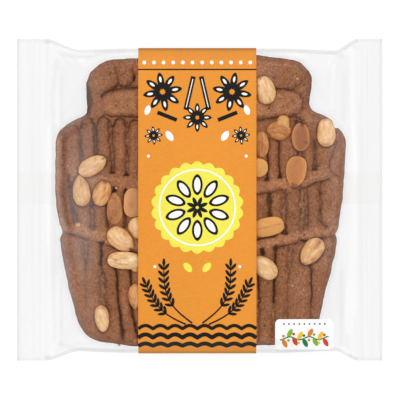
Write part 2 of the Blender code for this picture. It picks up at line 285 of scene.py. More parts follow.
# Hoops: rise, half width and line
HOOPS = [
    (0.5, 5.0, [(-104, 21), (-84, 14), (-48, 11), (0, 8), (46, 9.5), (65, 12), (78, 14), (90, 18), (98, 22)]),
    (0.6, 4.2, [(-110, -18), (-90, -25), (-70, -31), (-48, -36), (0, -39), (45, -35.5), (60, -32),
                (72, -30.5), (80, -27.5), (95, -25), (107, -24)]),
]
COLLAR = [(-77, 75), (-74, 82), (-60, 86.5), (0, 88), (60, 86), (73, 84.8), (79, 80.5), (80.8, 75), (76, 67),
          (60, 63.5), (0, 63.5), (-48, 64.5), (-68, 65.5), (-75, 68)]
# Pits: x, y, radius and depth
PITS = [
    (-67.7, -72.9, .9, .7), (-57.8, -69.5, .7, .5), (-70.9, -107.4, .9, .8), (-66.7, -103.2, .6, .5),
    (-86, -103.7, .9, .8), (-89.1, -47.3, .6, 1.0), (-88.3, -53.5, .6, .8), (57.8, 94.9, 1.1, 1.3),
    (64.9, 72.7, .7, .6), (77.3, -80.2, .7, .5), (52.8, -65.1, .6, .4), (50.7, -97.9, .7, .6),
    (99.7, -39.2, .9, 1.0), (100.3, -45.2, .6, .7), (61.3, -8.4, .8, .7), (-63.4, 51.3, .7, .7),
    (98.7, -21.3, .8, 1.0), (-69.6, 98.5, .9, .9), (-66.9, 98.3, .6, .7), (-107, 2.5, 1.2, 1.2),
    (81.5, -27.5, .8, 1.0), (-58, 7.8, .5, .6), (-60.5, 30, .6, .3), (45.6, -30.6, .7, .7),
    (73.4, 9.3, 1.1, .6), (82.1, 15.9, .6, .8),
]
DOCKING_HOLES = [(-65.1, 73.6), (-56.4, 73.6), (53.7, 71.3), (-20, 74), (17, 73)]
# Creases under the band: depth, height of the ridge, half width, and how far they draw together
HIDDEN_CREASE = (1.8, 0.4, 1.2)
HIDDEN_TAPER = 0.98
# A docking hole's depth, and the depth and radius of the faint ring pressed round it
DOCKING_DEPTH = 1.3
DOCKING_RING = (0.22, 2.9)

# How deep wedges, cracks and the dough against an almond are
WEDGE_DEPTH = 2.0
CRACK_DEPTH = 0.35
CONTACT_DEPTH = 0.7
# Ribs are rounded: how far they fall towards a crease, and from how far off
CROWN = 1.1
CROWN_REACH = 5.5
# How far round a crease its effect reaches, and the distance that stands for no crease in reach
CREASE_REACH = 6.0
NO_CREASE = 99.0
# The collar's height, the width of its edge and of a hoop's, and how far in from the slab's edge the
# relief is full
COLLAR_RISE = 0.5
COLLAR_EDGE = 3
HOOP_EDGE = 1.2
INLAND = 3.5
# The cap: y of its foot, and its shaded wall left of an x, with its y, width and reach up and down
CAP_FOOT = 82
CAP_WALL_X = -80
CAP_WALL_Y = 78
CAP_WALL_WIDTH = 4.6
CAP_WALL_REACH = (11, 8)
# The browned line inside the slab's edge as its depth, half width and strength: at the left rim,
# between these two heights of y, and elsewhere
LEFT_RIM = (-25, 60)
LEFT_TOAST = (6.9, 2.8, 1.1)
EDGE_TOAST = (3.0, 1.8, 1.0)

# Layers of noise, each as its strength, the size of its humps and its seed
OUTLINE_DENTS = [(0.4, 7, 41), (0.22, 2.6, 42)]
RAGGED_X = [(0.35, 3.1, 5), (0.2, 1.1, 7)]
RAGGED_Y = [(0.35, 3.3, 6), (0.2, 1.2, 8)]
CRUST_HUMPS = [(0.24, 11, 1), (0.16, 4.5, 2), (0.10, 2.1, 3), (0.09, 1.1, 4)]
CRUST_SPECKLE = [(0.30, 0.7, 24), (0.16, 1.4, 26), (0.06, 3.1, 25)]

# Dough colours, as seen on a screen, with the dark ones for painted shade: in creases, wedges, pits, cracks
# and against almonds, and on the cap's wall and at the slab's edge
DOUGH = (160, 105, 71)
DOUGH_SMOOTH = (183, 127, 89)
DOUGH_HOLLOW_SHADE = (88, 46, 24)
DOUGH_TOAST = (146, 86, 48)
DOUGH_ASH = (166, 124, 88)
DOUGH_SHADE = (108, 66, 42)
# How far below its almond the painted shadow on the dough against it lies
SHADE_DROP = 0.5
# Patches lighter or darker: middle, reach along x and y, and change in brightness
TONE_PATCHES = [
    (54, 11, 12, 5, .13), (54, -33, 12, 5, .12), (57, 25, 4, 12, .11), (106, 22, 4, 22, .08),
    (85, 33, 4, 10, .16), (73, -9, 6, 16, -.11), (89, -6, 6, 16, -.11), (64, -76, 5, 32, -.10),
    (-58, -78, 5, 16, .16), (-65, 13, 9, 5, -.07), (-75, 49, 5, 15, -.07), (72, 74, 8, 8, -.08),
    (103, -5, 8, 20, .06), (-92, -75, 14, 20, .05), (-69, -84, 4, 18, -.10), (60, -4, 4, 9, .18),
    (52.5, -88, 4, 22, -.04), (62, -88, 5, 30, -.04), (-110, 20, 4, 30, .06),
]
# Painted light on the dough just beside the band, which lifts the band's shade, and how far that reaches
PAINTED_LIGHT_BESIDE_BAND = 0.3
BESIDE_REACH = 4.0

# Almonds: middle x and y, length, width, height above the slab, direction of the pointed end,
# how pointed it is, how blunt the ends are, kind, how strong the nick at the point is, and how dark
# the painted shadow on the dough against it is
ALMONDS = [
    (-83.5, 26.3, 23.9, 13.9, 3.8, 31, .08, 2.0, "cream", .3, 1.2),
    (-92.4, 7.1, 24.4, 13.7, 3.8, 97, .22, 2.0, "honey", 0, 1.0),
    (-76.0, 5.2, 20.4, 14.2, 3.6, 72, .06, 2.1, "golden", .6, 1.0),
    (-66.3, -7.0, 25.2, 12.6, 2.6, 90, .10, 2.0, "toasted", 0, .15),
    (-51.8, -2.2, 22.6, 14.8, 2.8, 90, .04, 2.6, "half_tan", 0, .2),
    (-61.3, -31.1, 24.0, 15.9, 3.8, -39, .14, 2.1, "cream", .6, .9),
    (-47.3, -22.5, 18.8, 14.8, 3.6, -60, .08, 2.1, "cream", 0, .7),
    (-57.6, -47.4, 28.4, 13.6, 3.8, -3, .04, 2.4, "wavy", 0, .6),
    (-49.4, -75.6, 21.0, 12.4, 3.2, -88, .12, 2.0, "golden", .5, .5),
    (-76.0, -92.6, 20.8, 11.2, 3.6, -84, .10, 2.2, "cream", 0, .9),
    (50.7, 85.5, 22.4, 16.1, 3.6, 105, .08, 2.1, "cream", .5, .8),
    (61.6, 54.0, 19.0, 15.4, 3.4, 176, .08, 1.8, "streaked", 0, .55),
    (47.8, 43.2, 20.2, 12.2, 3.0, -88, .04, 2.3, "streaked", 0, .3),
    (78.8, 48.9, 22.0, 14.0, 2.8, 90, .04, 2.2, "half_brown", 1.0, .25),
    (98.5, 52.3, 21.8, 14.5, 3.6, 91, .06, 2.3, "cream", 0, 1.1),
    (75.0, 21.9, 24.2, 16.1, 3.0, -99, .14, 2.3, "half_amber", .8, .45),
    (42.7, 25.0, 20.8, 14.8, 3.0, 0, .02, 2.7, "half_gold", 0, .35),
    (53.3, -21.2, 24.8, 14.4, 2.8, 12, .03, 2.8, "half_gold", 0, .45),
    (87.4, -40.4, 23.6, 15.4, 3.8, 233, .12, 2.1, "honey", 0, 1.1),
    (50.7, -53.0, 22.4, 15.2, 3.6, 140, .06, 2.2, "cream", 0, .5),
]
# Broken bits that lie against an almond or alone: a flake, a sliver and a chip
FLAKES = [
    (65.0, 60.6, 10.2, 10.4, 2.6, 82, .16, 4.0, "flake", 0, 0),
    (-49.6, -54.6, 7.0, 3.8, 2.3, -12, .0, 2.2, "flake", 0, 0),
    (-95.2, -19.8, 4.6, 4.0, 1.0, 180, .34, 3.0, "flake", 0, 0),
]
# Browned spots and lines on the almonds: x, y, half length, half width, degrees, strength
ALMOND_MARKS = [
    (-86, 27.3, 2.4, 0.6, 35, .4), (-80.1, 25.9, 1.8, 0.6, 35, .35), (-82.5, 22.5, 1.6, 0.5, 30, .25),
    (-79.4, 10.7, 3.0, 1.6, 60, .3), (-75, 3, 3.2, 0.5, 75, .25), (-89.4, -3.5, 1.0, 0.7, 90, .5),
    (-93.6, 9, 4.5, 0.5, 95, .2), (-61.9, -5.7, 1.4, 0.9, 80, .7), (-67.3, -4.6, 2.6, 1.2, 90, .5),
    (-64, -12, 2.2, 0.6, 90, .35), (-53.0, -4, 3.6, 2.4, 70, .5), (-57.8, -25.9, 3.4, 1.2, -50, .35),
    (-64, -31, 2.6, 0.5, -40, .2), (-54, -48.6, 1.6, 0.5, 0, .3), (-66, -46, 3.5, 0.5, -10, .3),
    (-63, -50, 3.5, 0.5, -6, .3), (-74.4, -84, 3.4, 1.9, 0, .8), (-78, -84.6, 1.6, 1.1, 0, .5),
    (-77, -91, 3.5, 0.5, 95, .2), (-52, -82.5, 1.8, 0.8, -70, .6), (-50.5, -74, 3.5, 0.5, -85, .35),
    (54.4, 85.2, 2.2, 0.5, 100, .2), (55.6, 55.2, 2.4, 1.2, 20, .6), (64.9, 48.2, 4.0, 1.0, 15, .55),
    (62.6, 52.6, 3.6, 0.7, -30, .55), (58, 49.5, 2.2, 0.8, -20, .45), (45.8, 44.3, 3.6, 0.6, 80, .6),
    (48.4, 40, 3.6, 0.6, 85, .6), (51, 46, 2.6, 0.5, 80, .5), (98, 43.1, 3.2, 1.1, 0, .55),
    (51.6, -21.4, 5.8, 0.4, 14, .75), (61, -19.2, 3.6, 0.4, 8, .7), (92.4, -33.6, 3.6, 2.0, 65, .8),
    (95, -40.4, 2.2, 1.0, 65, .6), (90.6, -36, 3.2, 0.5, 50, .4), (88, -46, 2.3, 0.9, 40, .6),
    (82.6, -49.5, 2.0, 0.8, 10, .5), (87.5, -38, 5.0, 0.5, 55, .3), (48.8, -54.6, 5.0, 0.4, -45, .25),
    (52, -52.6, 5.0, 0.4, -45, .25),
]
# Dark specks on the almonds, most of them at their tips, in the same way
ALMOND_SPECKS = [
    (-74.8, 32.0, 1.3, 0.9, 31, .8), (-72.7, 14.2, 1.5, 1.1, 60, .9), (-67.4, -8.4, 0.9, 0.8, 0, .6),
    (-69.6, -16.5, 0.9, 0.8, 0, .5), (-69.6, 2.2, 1.8, 0.7, 115, .5), (-53.4, -38.4, 1.5, 1.1, -38, .9),
    (49.0, 96.3, 1.6, 0.8, 20, .8), (53.2, 95.6, 1.4, 0.6, -20, .6), (56.4, 92.3, 1.6, 0.5, -60, .5),
    (54.6, 50.6, 1.8, 0.7, -30, .6), (57.6, 48.4, 1.6, 0.7, -10, .6), (82.9, 44.5, 1.2, 1.1, 0, .9),
    (79.6, 59.2, 1.4, 1.2, 0, .9), (97.4, 62.2, 1.4, 0.8, 0, .6), (74.6, 11.2, 2.2, 1.3, 0, .8),
    (93.4, -33.3, 1.3, 0.9, 60, .5), (80.6, -49.4, 1.4, 0.8, 10, .6),
]
# Kinds of almond: middle colour, edge colour, how flat the top is, how wrinkled, and how dappled
ALMOND_KINDS = {
    "cream": ((249, 203, 151), (238, 184, 119), 2.2, 1.0, .5),
    "honey": ((240, 190, 134), (228, 172, 107), 2.2, 1.05, .5),
    "wavy": ((253, 213, 164), (244, 197, 136), 2.3, 1.5, .4),
    "golden": ((238, 178, 115), (218, 152, 89), 2.2, 1.3, .5),
    "toasted": ((188, 128, 82), (208, 146, 88), 2.4, 1.6, .7),
    "streaked": ((203, 136, 83), (214, 144, 80), 2.4, 1.7, .5),
    "flake": ((226, 172, 106), (214, 156, 88), 4.0, .6, .2),
    "half_tan": ((215, 154, 102), (222, 164, 106), 5.0, .3, .2),
    "half_brown": ((172, 106, 65), (198, 132, 80), 5.0, .3, .1),
    "half_amber": ((204, 131, 76), (218, 152, 84), 5.0, .3, .1),
    "half_gold": ((234, 168, 98), (236, 170, 92), 5.0, .3, .1),
}
ALMOND_TIP = (126, 66, 34)
ALMOND_BROWN = (182, 108, 52)
# How much a dark streak takes from red, green and blue
STREAK_SHARES = np.array([0.55, 0.95, 1.35])
ALMOND_RIM = (240, 178, 108)
ALMOND_RINGS = 64
ALMOND_SIDES = 60
# Thickness of an almond from its upper to its lower side, whole or half, and the flatness of the
# top from which it counts as a half, and as a smooth one with a pale rim
WHOLE_THICKNESS = 8.4
HALF_THICKNESS = 6.4
HALF_FLATNESS = 3
SMOOTH_FLATNESS = 4.5
# How much an almond's outline and its top waver, and the nick at its point: how far along and to a
# side its middle lies, as shares of the length and width, its reach, and how far it bites in and down
WAVER = 0.045
SWELL = 0.02
NICK_ALONG = 0.45
NICK_ASIDE = 0.08
NICK_REACH = 1.1
NICK_BITE = 1.1
NICK_DEPTH = 0.8

# Loose crumbs: x, y and radius
CRUMBS = [(-65, 9.2, 0.9), (-63, -113.4, 1.0), (76, 94.1, 0.8), (46, -78.6, 0.8), (72.4, -66.8, 0.6)]
CRUMB_COLOUR = (222, 178, 128)
CRUMB_SHAPE = np.array([1.2, 0.9, 0.6])
CRUMB_LUMPS = 0.28
# Height at which a crumb beside the slab lies
BESIDE_SLAB = 4.0

# Folds of the film where it is drawn in beside the fins: height, half width and line
FOLDS = [
    (0.9, 1.3, [(-118, 124), (-108, 117), (-98, 110), (-90, 104)]),
    (0.7, 1.0, [(-121, 121), (-113, 113), (-106, 104)]),
    (0.6, 1.1, [(-104, 116), (-92, 112), (-78, 113)]),
    (0.9, 1.3, [(-118, -124), (-109, -118), (-99, -111), (-91, -105)]),
    (0.7, 1.0, [(-119, -121), (-110, -112), (-105, -103)]),
    (0.6, 1.1, [(-104, -117), (-93, -114), (-80, -114)]),
    (0.9, 1.2, [(121, 124), (114, 117), (108, 108), (101, 98)]),
    (0.6, 1.0, [(118, 119), (112, 110), (108, 100)]),
    (0.9, 1.2, [(121, -124), (114, -118), (107, -112), (99, -107)]),
    (0.6, 1.0, [(119, -119), (113, -111), (108, -102)]),
    (0.5, 1.4, [(-117, 95), (-116, 40), (-117, -20), (-116, -90)]),
    (0.5, 1.4, [(117.5, 95), (118.5, 30), (117, -40), (112, -95)]),
    (0.4, 1.6, [(106, -60), (109, -20), (115, 20)]),
    (0.4, 1.6, [(-107, -60), (-111, -80), (-113, -100)]),
    (0.4, 1.2, [(88, 99), (98, 80), (106, 68)]),
    (0.4, 1.2, [(-89, 99), (-99, 80), (-108, 66)]),
]

# Streaks of the film beside the slab: change in veil, half width and line. Bright ones are painted
# light caught on a fold, and dark ones painted shade of a fold seen edge on.
STREAKS = [
    (.5, 1.3, [(-142, 126), (-142, -126)]),
    (.10, .5, [(-124.8, 122), (-124.4, -122)]),
    (-.26, 1.4, [(-122.2, 116), (-121.8, 0), (-122.4, -117)]),
    (.16, 2.0, [(-112.5, 108), (-114.4, 85), (-113.6, 20), (-113.8, -60), (-113.4, -108)]),
    (-.10, 1.2, [(-110.6, 100), (-110.8, 60)]),
    (.18, 1.8, [(-107.8, 96), (-106.4, 70), (-107.2, 60)]),
    (.16, 1.5, [(-108.3, -62), (-108.5, -112)]),
    (-.12, 1.3, [(-111.2, -60), (-111.0, -108)]),
    (-.28, 1.3, [(-110.6, 119), (-104, 116.5), (-96, 114.6), (-84, 114.5)]),
    (.22, 1.3, [(-107.4, 112.5), (-98, 111.6), (-88, 112), (-72, 114.6), (-60, 115.5)]),
    (-.24, 2.2, [(-93, 109), (-88.5, 107)]),
    (-.26, .7, [(-106, 111.3), (-102, 109.5), (-98.7, 106.5)]),
    (.45, .6, [(-121.8, 124), (-119.6, 121.8)]),
    (.35, .6, [(-118.6, 123.6), (-117.6, 120.8)]),
    (-.3, .9, [(-117, 121), (-116.2, 119.4)]),
    (-.26, 2.0, [(-93.5, -107), (-90, -111)]),
    (.24, 1.3, [(-109, -112.5), (-100, -115.8), (-84, -117), (-60, -118)]),
    (-.24, 1.0, [(-117.5, -119.5), (-114.5, -121), (-112, -119)]),
    (.4, .7, [(-121, -122.6), (-117.6, -122.2)]),
    (.34, .7, [(-113.4, -121.4), (-112, -118.6)]),
    (.34, 1.4, [(141.8, 126), (141.8, -126)]),
    (-.24, .8, [(119.1, 114), (119.2, 70), (118.6, 0), (118.8, -50)]),
    (-.16, 2.2, [(118.6, 60), (117.6, 0), (117.2, -60), (116.6, -112)]),
    (.12, 2.6, [(114.6, 110), (115, 85), (113.4, 66)]),
    (.12, 1.6, [(112.9, 98), (112.6, 60)]),
    (-.22, 1.3, [(104, 104), (103.4, 72)]),
    (-.2, 1.0, [(100, 106), (103, 112)]),
    (-.26, 1.5, [(70, 112.6), (88, 112.4), (104, 111.5)]),
    (.22, 1.2, [(78, 114.6), (92, 114), (104, 114.4), (112, 111.6)]),
    (.3, 1.0, [(118.5, 121.4), (121.6, 118.6)]),
    (.42, .7, [(113, 117.8), (116.6, 120.6)]),
    (-.2, 1.0, [(117, 116.6), (121, 114.6)]),
    (.2, 2.0, [(110.2, -56), (110.4, -112)]),
    (.26, 2.4, [(115.6, -107), (115.8, -113)]),
    (.24, 1.3, [(60, -118.4), (90, -117.6), (104, -117)]),
    (.34, .8, [(116, -121), (119, -122.6)]),
    (-.26, 1.0, [(112, -118.6), (115.4, -119.8)]),
    (.06, .4, [(126.5, 118), (126.5, -118)]),
    (.08, .4, [(131, 120), (131, 30)]),
    (.06, .4, [(133.4, 100), (133.4, -100)]),
    (-.08, .6, [(128.6, 118), (128.6, -118)]),
    (.05, .5, [(-131, 100), (-131, -60)]),
]


def linear(colour):
    """A colour as seen on a screen, 0 to 255, as linear light."""
    share = np.array(colour, dtype=float) / 255
    return np.where(share <= 0.04045, share / 12.92, ((share + 0.055) / 1.055) ** 2.4)


def blended(tone, colour, share):
    """A linear tone taken towards a screen colour by a share from 0 to 1."""
    return tone + (linear(colour) - tone) * np.clip(share, 0, 1)[..., None]


def ease(t):
    """Smooth step from 0 to 1."""
    t = np.clip(t, 0.0, 1.0)
    return t * t * (3.0 - 2.0 * t)


def bump(distance, reach):
    """1 at no distance, falling smoothly to nothing beyond the reach."""
    return np.exp(-(distance / reach) ** 2)


def noise(x, y, size, seed):
    """Smooth random field from -1 to 1 with its humps about size apart."""
    side = 128
    lattice = np.random.default_rng(seed).uniform(-1, 1, (side, side))
    column = np.floor(x / size).astype(int)
    row = np.floor(y / size).astype(int)
    across = ease(x / size - column)
    along = ease(y / size - row)

    def on_row(number):
        here = lattice[column % side, number % side]
        beyond = lattice[(column + 1) % side, number % side]
        return here * (1 - across) + beyond * across

    return on_row(row) * (1 - along) + on_row(row + 1) * along


def layered(x, y, layers):
    """The sum of some layers of noise."""
    return sum(strength * noise(x, y, size, seed) for strength, size, seed in layers)


def turned(x, y, degrees):
    """How far a place lies along a direction and to its left."""
    turn = math.radians(degrees)
    return x * math.cos(turn) + y * math.sin(turn), y * math.cos(turn) - x * math.sin(turn)


def normals(way):
    """Unit vectors to the right of some directions."""
    return np.column_stack([way[:, 1], -way[:, 0]]) / np.linalg.norm(way, axis=1)[:, None]


def lengths_along(points):
    """How far along a line each of its points is."""
    return np.concatenate([[0], np.cumsum(np.linalg.norm(np.diff(points, axis=0), axis=1))])


def quads(grid, rows_close=False, rows_join=False):
    """Faces between neighbours in a grid of point numbers.

    Each row closes on itself, and the last row joins the first one, where that is asked for.
    """
    if rows_close:
        grid = np.hstack([grid, grid[:, :1]])
    if rows_join:
        grid = np.vstack([grid, grid[:1]])
    return np.stack([grid[:-1, :-1], grid[1:, :-1], grid[1:, 1:], grid[:-1, 1:]], axis=-1).reshape(-1, 4)


def tube_faces(rings, count):
    """Faces of a closed tube of rings of points, with one face over each end."""
    grid = np.arange(rings * count).reshape(rings, count)
    return quads(grid, rows_close=True).tolist() + [grid[0].tolist(), grid[-1, ::-1].tolist()]


def smooth_loop(points, steps):
    """Closed Catmull-Rom curve through the points."""
    here = np.array(points, dtype=float)
    before = np.roll(here, 1, axis=0)
    after = np.roll(here, -1, axis=0)
    beyond = np.roll(here, -2, axis=0)
    t = (np.arange(steps) / steps)[:, None, None]
    curve = here + 0.5 * t * (after - before)
    curve = curve + 0.5 * t ** 2 * (2 * before - 5 * here + 4 * after - beyond)
    curve = curve + 0.5 * t ** 3 * (3 * here - before - 3 * after + beyond)
    return curve.transpose(1, 0, 2).reshape(-1, 2)


def slab_loop():
    """The slab's outline with the small dents and lumps of a broken-out biscuit."""
    loop = smooth_loop(SLAB_OUTLINE, OUTLINE_STEPS)
    inward = normals(np.roll(loop, -1, axis=0) - np.roll(loop, 1, axis=0))
    return loop - inward * layered(loop[:, 0], loop[:, 1], OUTLINE_DENTS)[:, None]


SLAB_LOOP = slab_loop()


def nearest_on(loop, x, y):
    """Signed depth of each point inside a loop, and the nearest place on the loop."""
    best = np.full(x.shape, np.inf)
    near_x = np.zeros(x.shape)
    near_y = np.zeros(x.shape)
    inside = np.zeros(x.shape, dtype=bool)
    for (ax, ay), (bx, by) in zip(loop, np.roll(loop, -1, axis=0)):
        dx, dy = bx - ax, by - ay
        along = np.clip(((x - ax) * dx + (y - ay) * dy) / (dx * dx + dy * dy), 0.0, 1.0)
        foot_x, foot_y = ax + along * dx, ay + along * dy
        distance = np.hypot(x - foot_x, y - foot_y)
        closer = distance < best
        best = np.where(closer, distance, best)
        near_x = np.where(closer, foot_x, near_x)
        near_y = np.where(closer, foot_y, near_y)
        if ay != by:
            inside ^= ((ay > y) != (by > y)) & (x < ax + (y - ay) * dx / dy)
    return np.where(inside, best, -best), near_x, near_y


def along_line(points, x, y):
    """Distance from each point to a line of points, and the line's width there if it has one."""
    best = np.full(x.shape, np.inf)
    width = np.zeros(x.shape)
    for a, b in zip(points, points[1:]):
        dx, dy = b[0] - a[0], b[1] - a[1]
        free = ((x - a[0]) * dx + (y - a[1]) * dy) / (dx * dx + dy * dy)
        along = np.clip(free, 0.0, 1.0)
        distance = np.hypot(x - a[0] - along * dx, y - a[1] - along * dy)
        closer = distance < best
        best = np.where(closer, distance, best)
        if len(a) > 2:
            past_end = (free > 1) & (b is points[-1])
            here = np.where(past_end, min(b[2], 0.5), a[2] + along * (b[2] - a[2]))
            width = np.where(closer, here, width)
    return best, width


def all_creases():
    """The shown creases, and the ones that carry on under the band."""
    creases = list(CREASES)
    deep, crumbs, half = HIDDEN_CREASE
    for first, last, count, top, bottom in HIDDEN_ROWS:
        for place in np.linspace(first, last, count + 2)[1:-1]:
            creases.append((deep, crumbs, [(place, top, half), (place * HIDDEN_TAPER, bottom, half)]))
    return creases


def keep_larger(field, places, values):
    """Raise a field at some places to new values where these are larger."""
    field[places] = np.maximum(field[places], values)


class Dough:
    """The slab's relief and colour at an array of places."""

    def __init__(self, x, y, depth):
        self.x, self.y, self.depth = x, y, depth
        self.jagged_x = x + layered(x, y, RAGGED_X)
        self.jagged_y = y + layered(x, y, RAGGED_Y)
        self.cut_creases()
        self.cut_wedges()
        self.press_pits()
        self.hoop = np.zeros(x.shape)
        for rise, half, line in HOOPS:
            inside = half + HOOP_EDGE - along_line(line, x, y)[0]
            self.hoop = np.maximum(self.hoop, rise * ease(inside / (2 * HOOP_EDGE)))
        self.collar = ease(nearest_on(np.array(COLLAR, dtype=float), x, y)[0] / COLLAR_EDGE)
        self.crack = self.fine_cracks()
        self.contact_dip_and_shadow = self.near_almonds()
        self.height = self.relief()

    def cut_creases(self):
        """Creases, the ridges of crumbs in them, the painted shade on their floors, and their flanks, toasted
        and with painted shade.
        """
        x, y = self.x, self.y
        self.carve = np.zeros(x.shape)
        self.ridge = np.zeros(x.shape)
        self.hollow_shade = np.zeros(x.shape)
        self.flank_toast_and_shade = np.zeros(x.shape)
        self.clear = np.full(x.shape, NO_CREASE)
        for deep, crumbs, line in all_creases():
            low = np.min(np.array(line)[:, :2], axis=0) - CREASE_REACH
            high = np.max(np.array(line)[:, :2], axis=0) + CREASE_REACH
            near = (x > low[0]) & (x < high[0]) & (y > low[1]) & (y < high[1])
            if not near.any():
                continue
            distance, half = along_line(line, self.jagged_x[near], self.jagged_y[near])
            half = half * (0.95 + 0.55 * noise(x[near], y[near], 2.7, 10))
            beyond = distance - half
            wall = 0.4 + 0.2 * half
            floor = (distance < half) * (1 - min(1, 1.4 * crumbs))
            # How dark the painted shade in the crease is
            dark = np.where(half > 0.9, np.maximum(bump(beyond, 0.5), floor), bump(distance, half + 0.25))
            strong = min(deep / 1.5, 1)
            keep_larger(self.carve, near, deep * ease((wall - beyond) / (2 * wall)))
            keep_larger(self.ridge, near, crumbs * bump(distance, 0.65 * half + 0.1))
            keep_larger(self.hollow_shade, near, min(deep / 1.8, 1) * (1 - 0.25 * crumbs) * dark)
            # Toast on the flank, which also stands for painted shade
            keep_larger(self.flank_toast_and_shade, near, strong * bump(beyond - 0.8, 1.6))
            self.clear[near] = np.minimum(self.clear[near], beyond + 1.2 * (1 - strong))
        self.ridge = self.ridge * np.clip(0.55 + 1.1 * noise(x, y, 1.5, 9), 0, 1.3)

    def cut_wedges(self):
        """Wedges, wide at their flat end and narrow at the other."""
        for middle_x, flat_y, half, length in WEDGES:
            share = np.clip((self.jagged_y - flat_y) / length, 0, 1)
            past = np.maximum(0, (flat_y - self.jagged_y) * np.sign(length))
            aside = np.abs(self.jagged_x - middle_x) - half * (1 - share) ** 1.4
            outside = np.hypot(np.clip(aside, 0, None), past) + 9 * (share >= 1)
            mark = bump(outside, 0.4)
            self.carve = np.maximum(self.carve, WEDGE_DEPTH * mark)
            # Painted shade in the wedge
            self.hollow_shade = np.maximum(self.hollow_shade, mark)

    def press_pits(self):
        """Pits and docking holes, as a depth and as the painted shade in them."""
        self.sunk = np.zeros(self.x.shape)
        self.pit_shade = np.zeros(self.x.shape)
        for middle_x, middle_y, radius, deep in PITS:
            mark = bump(np.hypot(self.jagged_x - middle_x, self.jagged_y - middle_y), 1.15 * radius)
            self.sunk = np.maximum(self.sunk, deep * mark)
            self.pit_shade = np.maximum(self.pit_shade, mark * min(1.0, 1.7 * deep))
        ring_depth, ring_radius = DOCKING_RING
        for middle_x, middle_y in DOCKING_HOLES:
            distance = np.hypot(self.x - middle_x, self.y - middle_y)
            ring = distance - ring_radius
            self.sunk = self.sunk + DOCKING_DEPTH * bump(distance, 0.7) + ring_depth * bump(ring, 0.7)
            self.pit_shade = np.maximum(self.pit_shade, np.maximum(bump(distance, 0.75), 0.3 * bump(ring, 0.6)))

    def fine_cracks(self):
        """Fine cracks that wander in patches, most of them on the cap."""
        line = bump(noise(self.x, self.y, 4.6, 31), 0.06)
        patch = ease((noise(self.x, self.y, 15, 32) - 0.25) / 0.15)
        return line * patch * (0.25 + 0.75 * ease((self.y - CAP_FOOT) / 4))

    def near_almonds(self):
        """How dark the painted shadow on the dough against the almonds is."""
        contact_dip_and_shadow = np.zeros(self.x.shape)
        for middle_x, middle_y, length, width, _, degrees, *_, dark in ALMONDS:
            along, across = turned(self.jagged_x - middle_x, self.jagged_y - middle_y + SHADE_DROP, degrees)
            beyond = (np.hypot(along * 2 / length, across * 2 / width) - 1) * width / 2
            contact_dip_and_shadow = np.maximum(contact_dip_and_shadow, dark * bump(np.clip(beyond - 0.2, 0, None), 0.8))
        return contact_dip_and_shadow * np.clip(0.7 + 0.6 * noise(self.x, self.y, 7, 33), 0.2, 1)

    def relief(self):
        """Height of the crust above the ground."""
        raised = self.hoop + COLLAR_RISE * self.collar + self.ridge
        crown = CROWN * (1 - np.clip(self.clear / CROWN_REACH, 0, 1)) ** 2
        lowered = self.carve + crown + self.sunk + CONTACT_DEPTH * self.contact_dip_and_shadow
        shoulder = (1 - np.clip(self.depth / SHOULDER_REACH, 0, 1)) ** SHOULDER_POWER
        rim = SLAB_TOP - (SLAB_TOP - SLAB_EDGE) * shoulder
        crust = layered(self.x, self.y, CRUST_HUMPS) - CRACK_DEPTH * self.crack
        return rim + (raised - lowered) * ease(self.depth / INLAND) + crust

    def rim_toast(self, left_rim):
        """The browned line inside the slab's edge, wider and farther in at the left."""
        depth, half, strength = (np.where(left_rim, *both) for both in zip(LEFT_TOAST, EDGE_TOAST))
        rough = 0.75 + 0.5 * noise(self.x, self.y, 2.2, 23)
        return strength * bump(self.depth - depth, half) * rough

    def cap_wall(self):
        """The shaded wall at the left of the cap, widest at the step."""
        above = self.y - CAP_WALL_Y
        width = CAP_WALL_WIDTH * bump(above, np.where(above > 0, *CAP_WALL_REACH))
        return (self.x < CAP_WALL_X) * (width > 0.6) * ease((width - self.depth) / 0.9 + 0.5)

    def brightness(self):
        """How much lighter or darker than its colour each place is, with painted shade at the crease flanks
        and painted light beside the band.
        """
        x, y = self.x, self.y
        # Speckle, with painted shade at the crease flanks
        speckle = layered(x, y, CRUST_SPECKLE) * np.where(x < 0, 0.95, 1.1) + 0.03 - 0.14 * self.flank_toast_and_shade
        for middle_x, middle_y, reach_x, reach_y, change in TONE_PATCHES:
            speckle = speckle + change * bump(np.hypot((x - middle_x) / reach_x, (y - middle_y) / reach_y), 1)
        # Painted light beside the band, which lifts the shade that the band casts
        beside = np.abs(x - BAND_MIDDLE) - (BAND_RIGHT - BAND_LEFT) / 2
        return np.clip(1 + speckle + PAINTED_LIGHT_BESIDE_BAND * bump(beside, BESIDE_REACH), 0.5, 1.6)

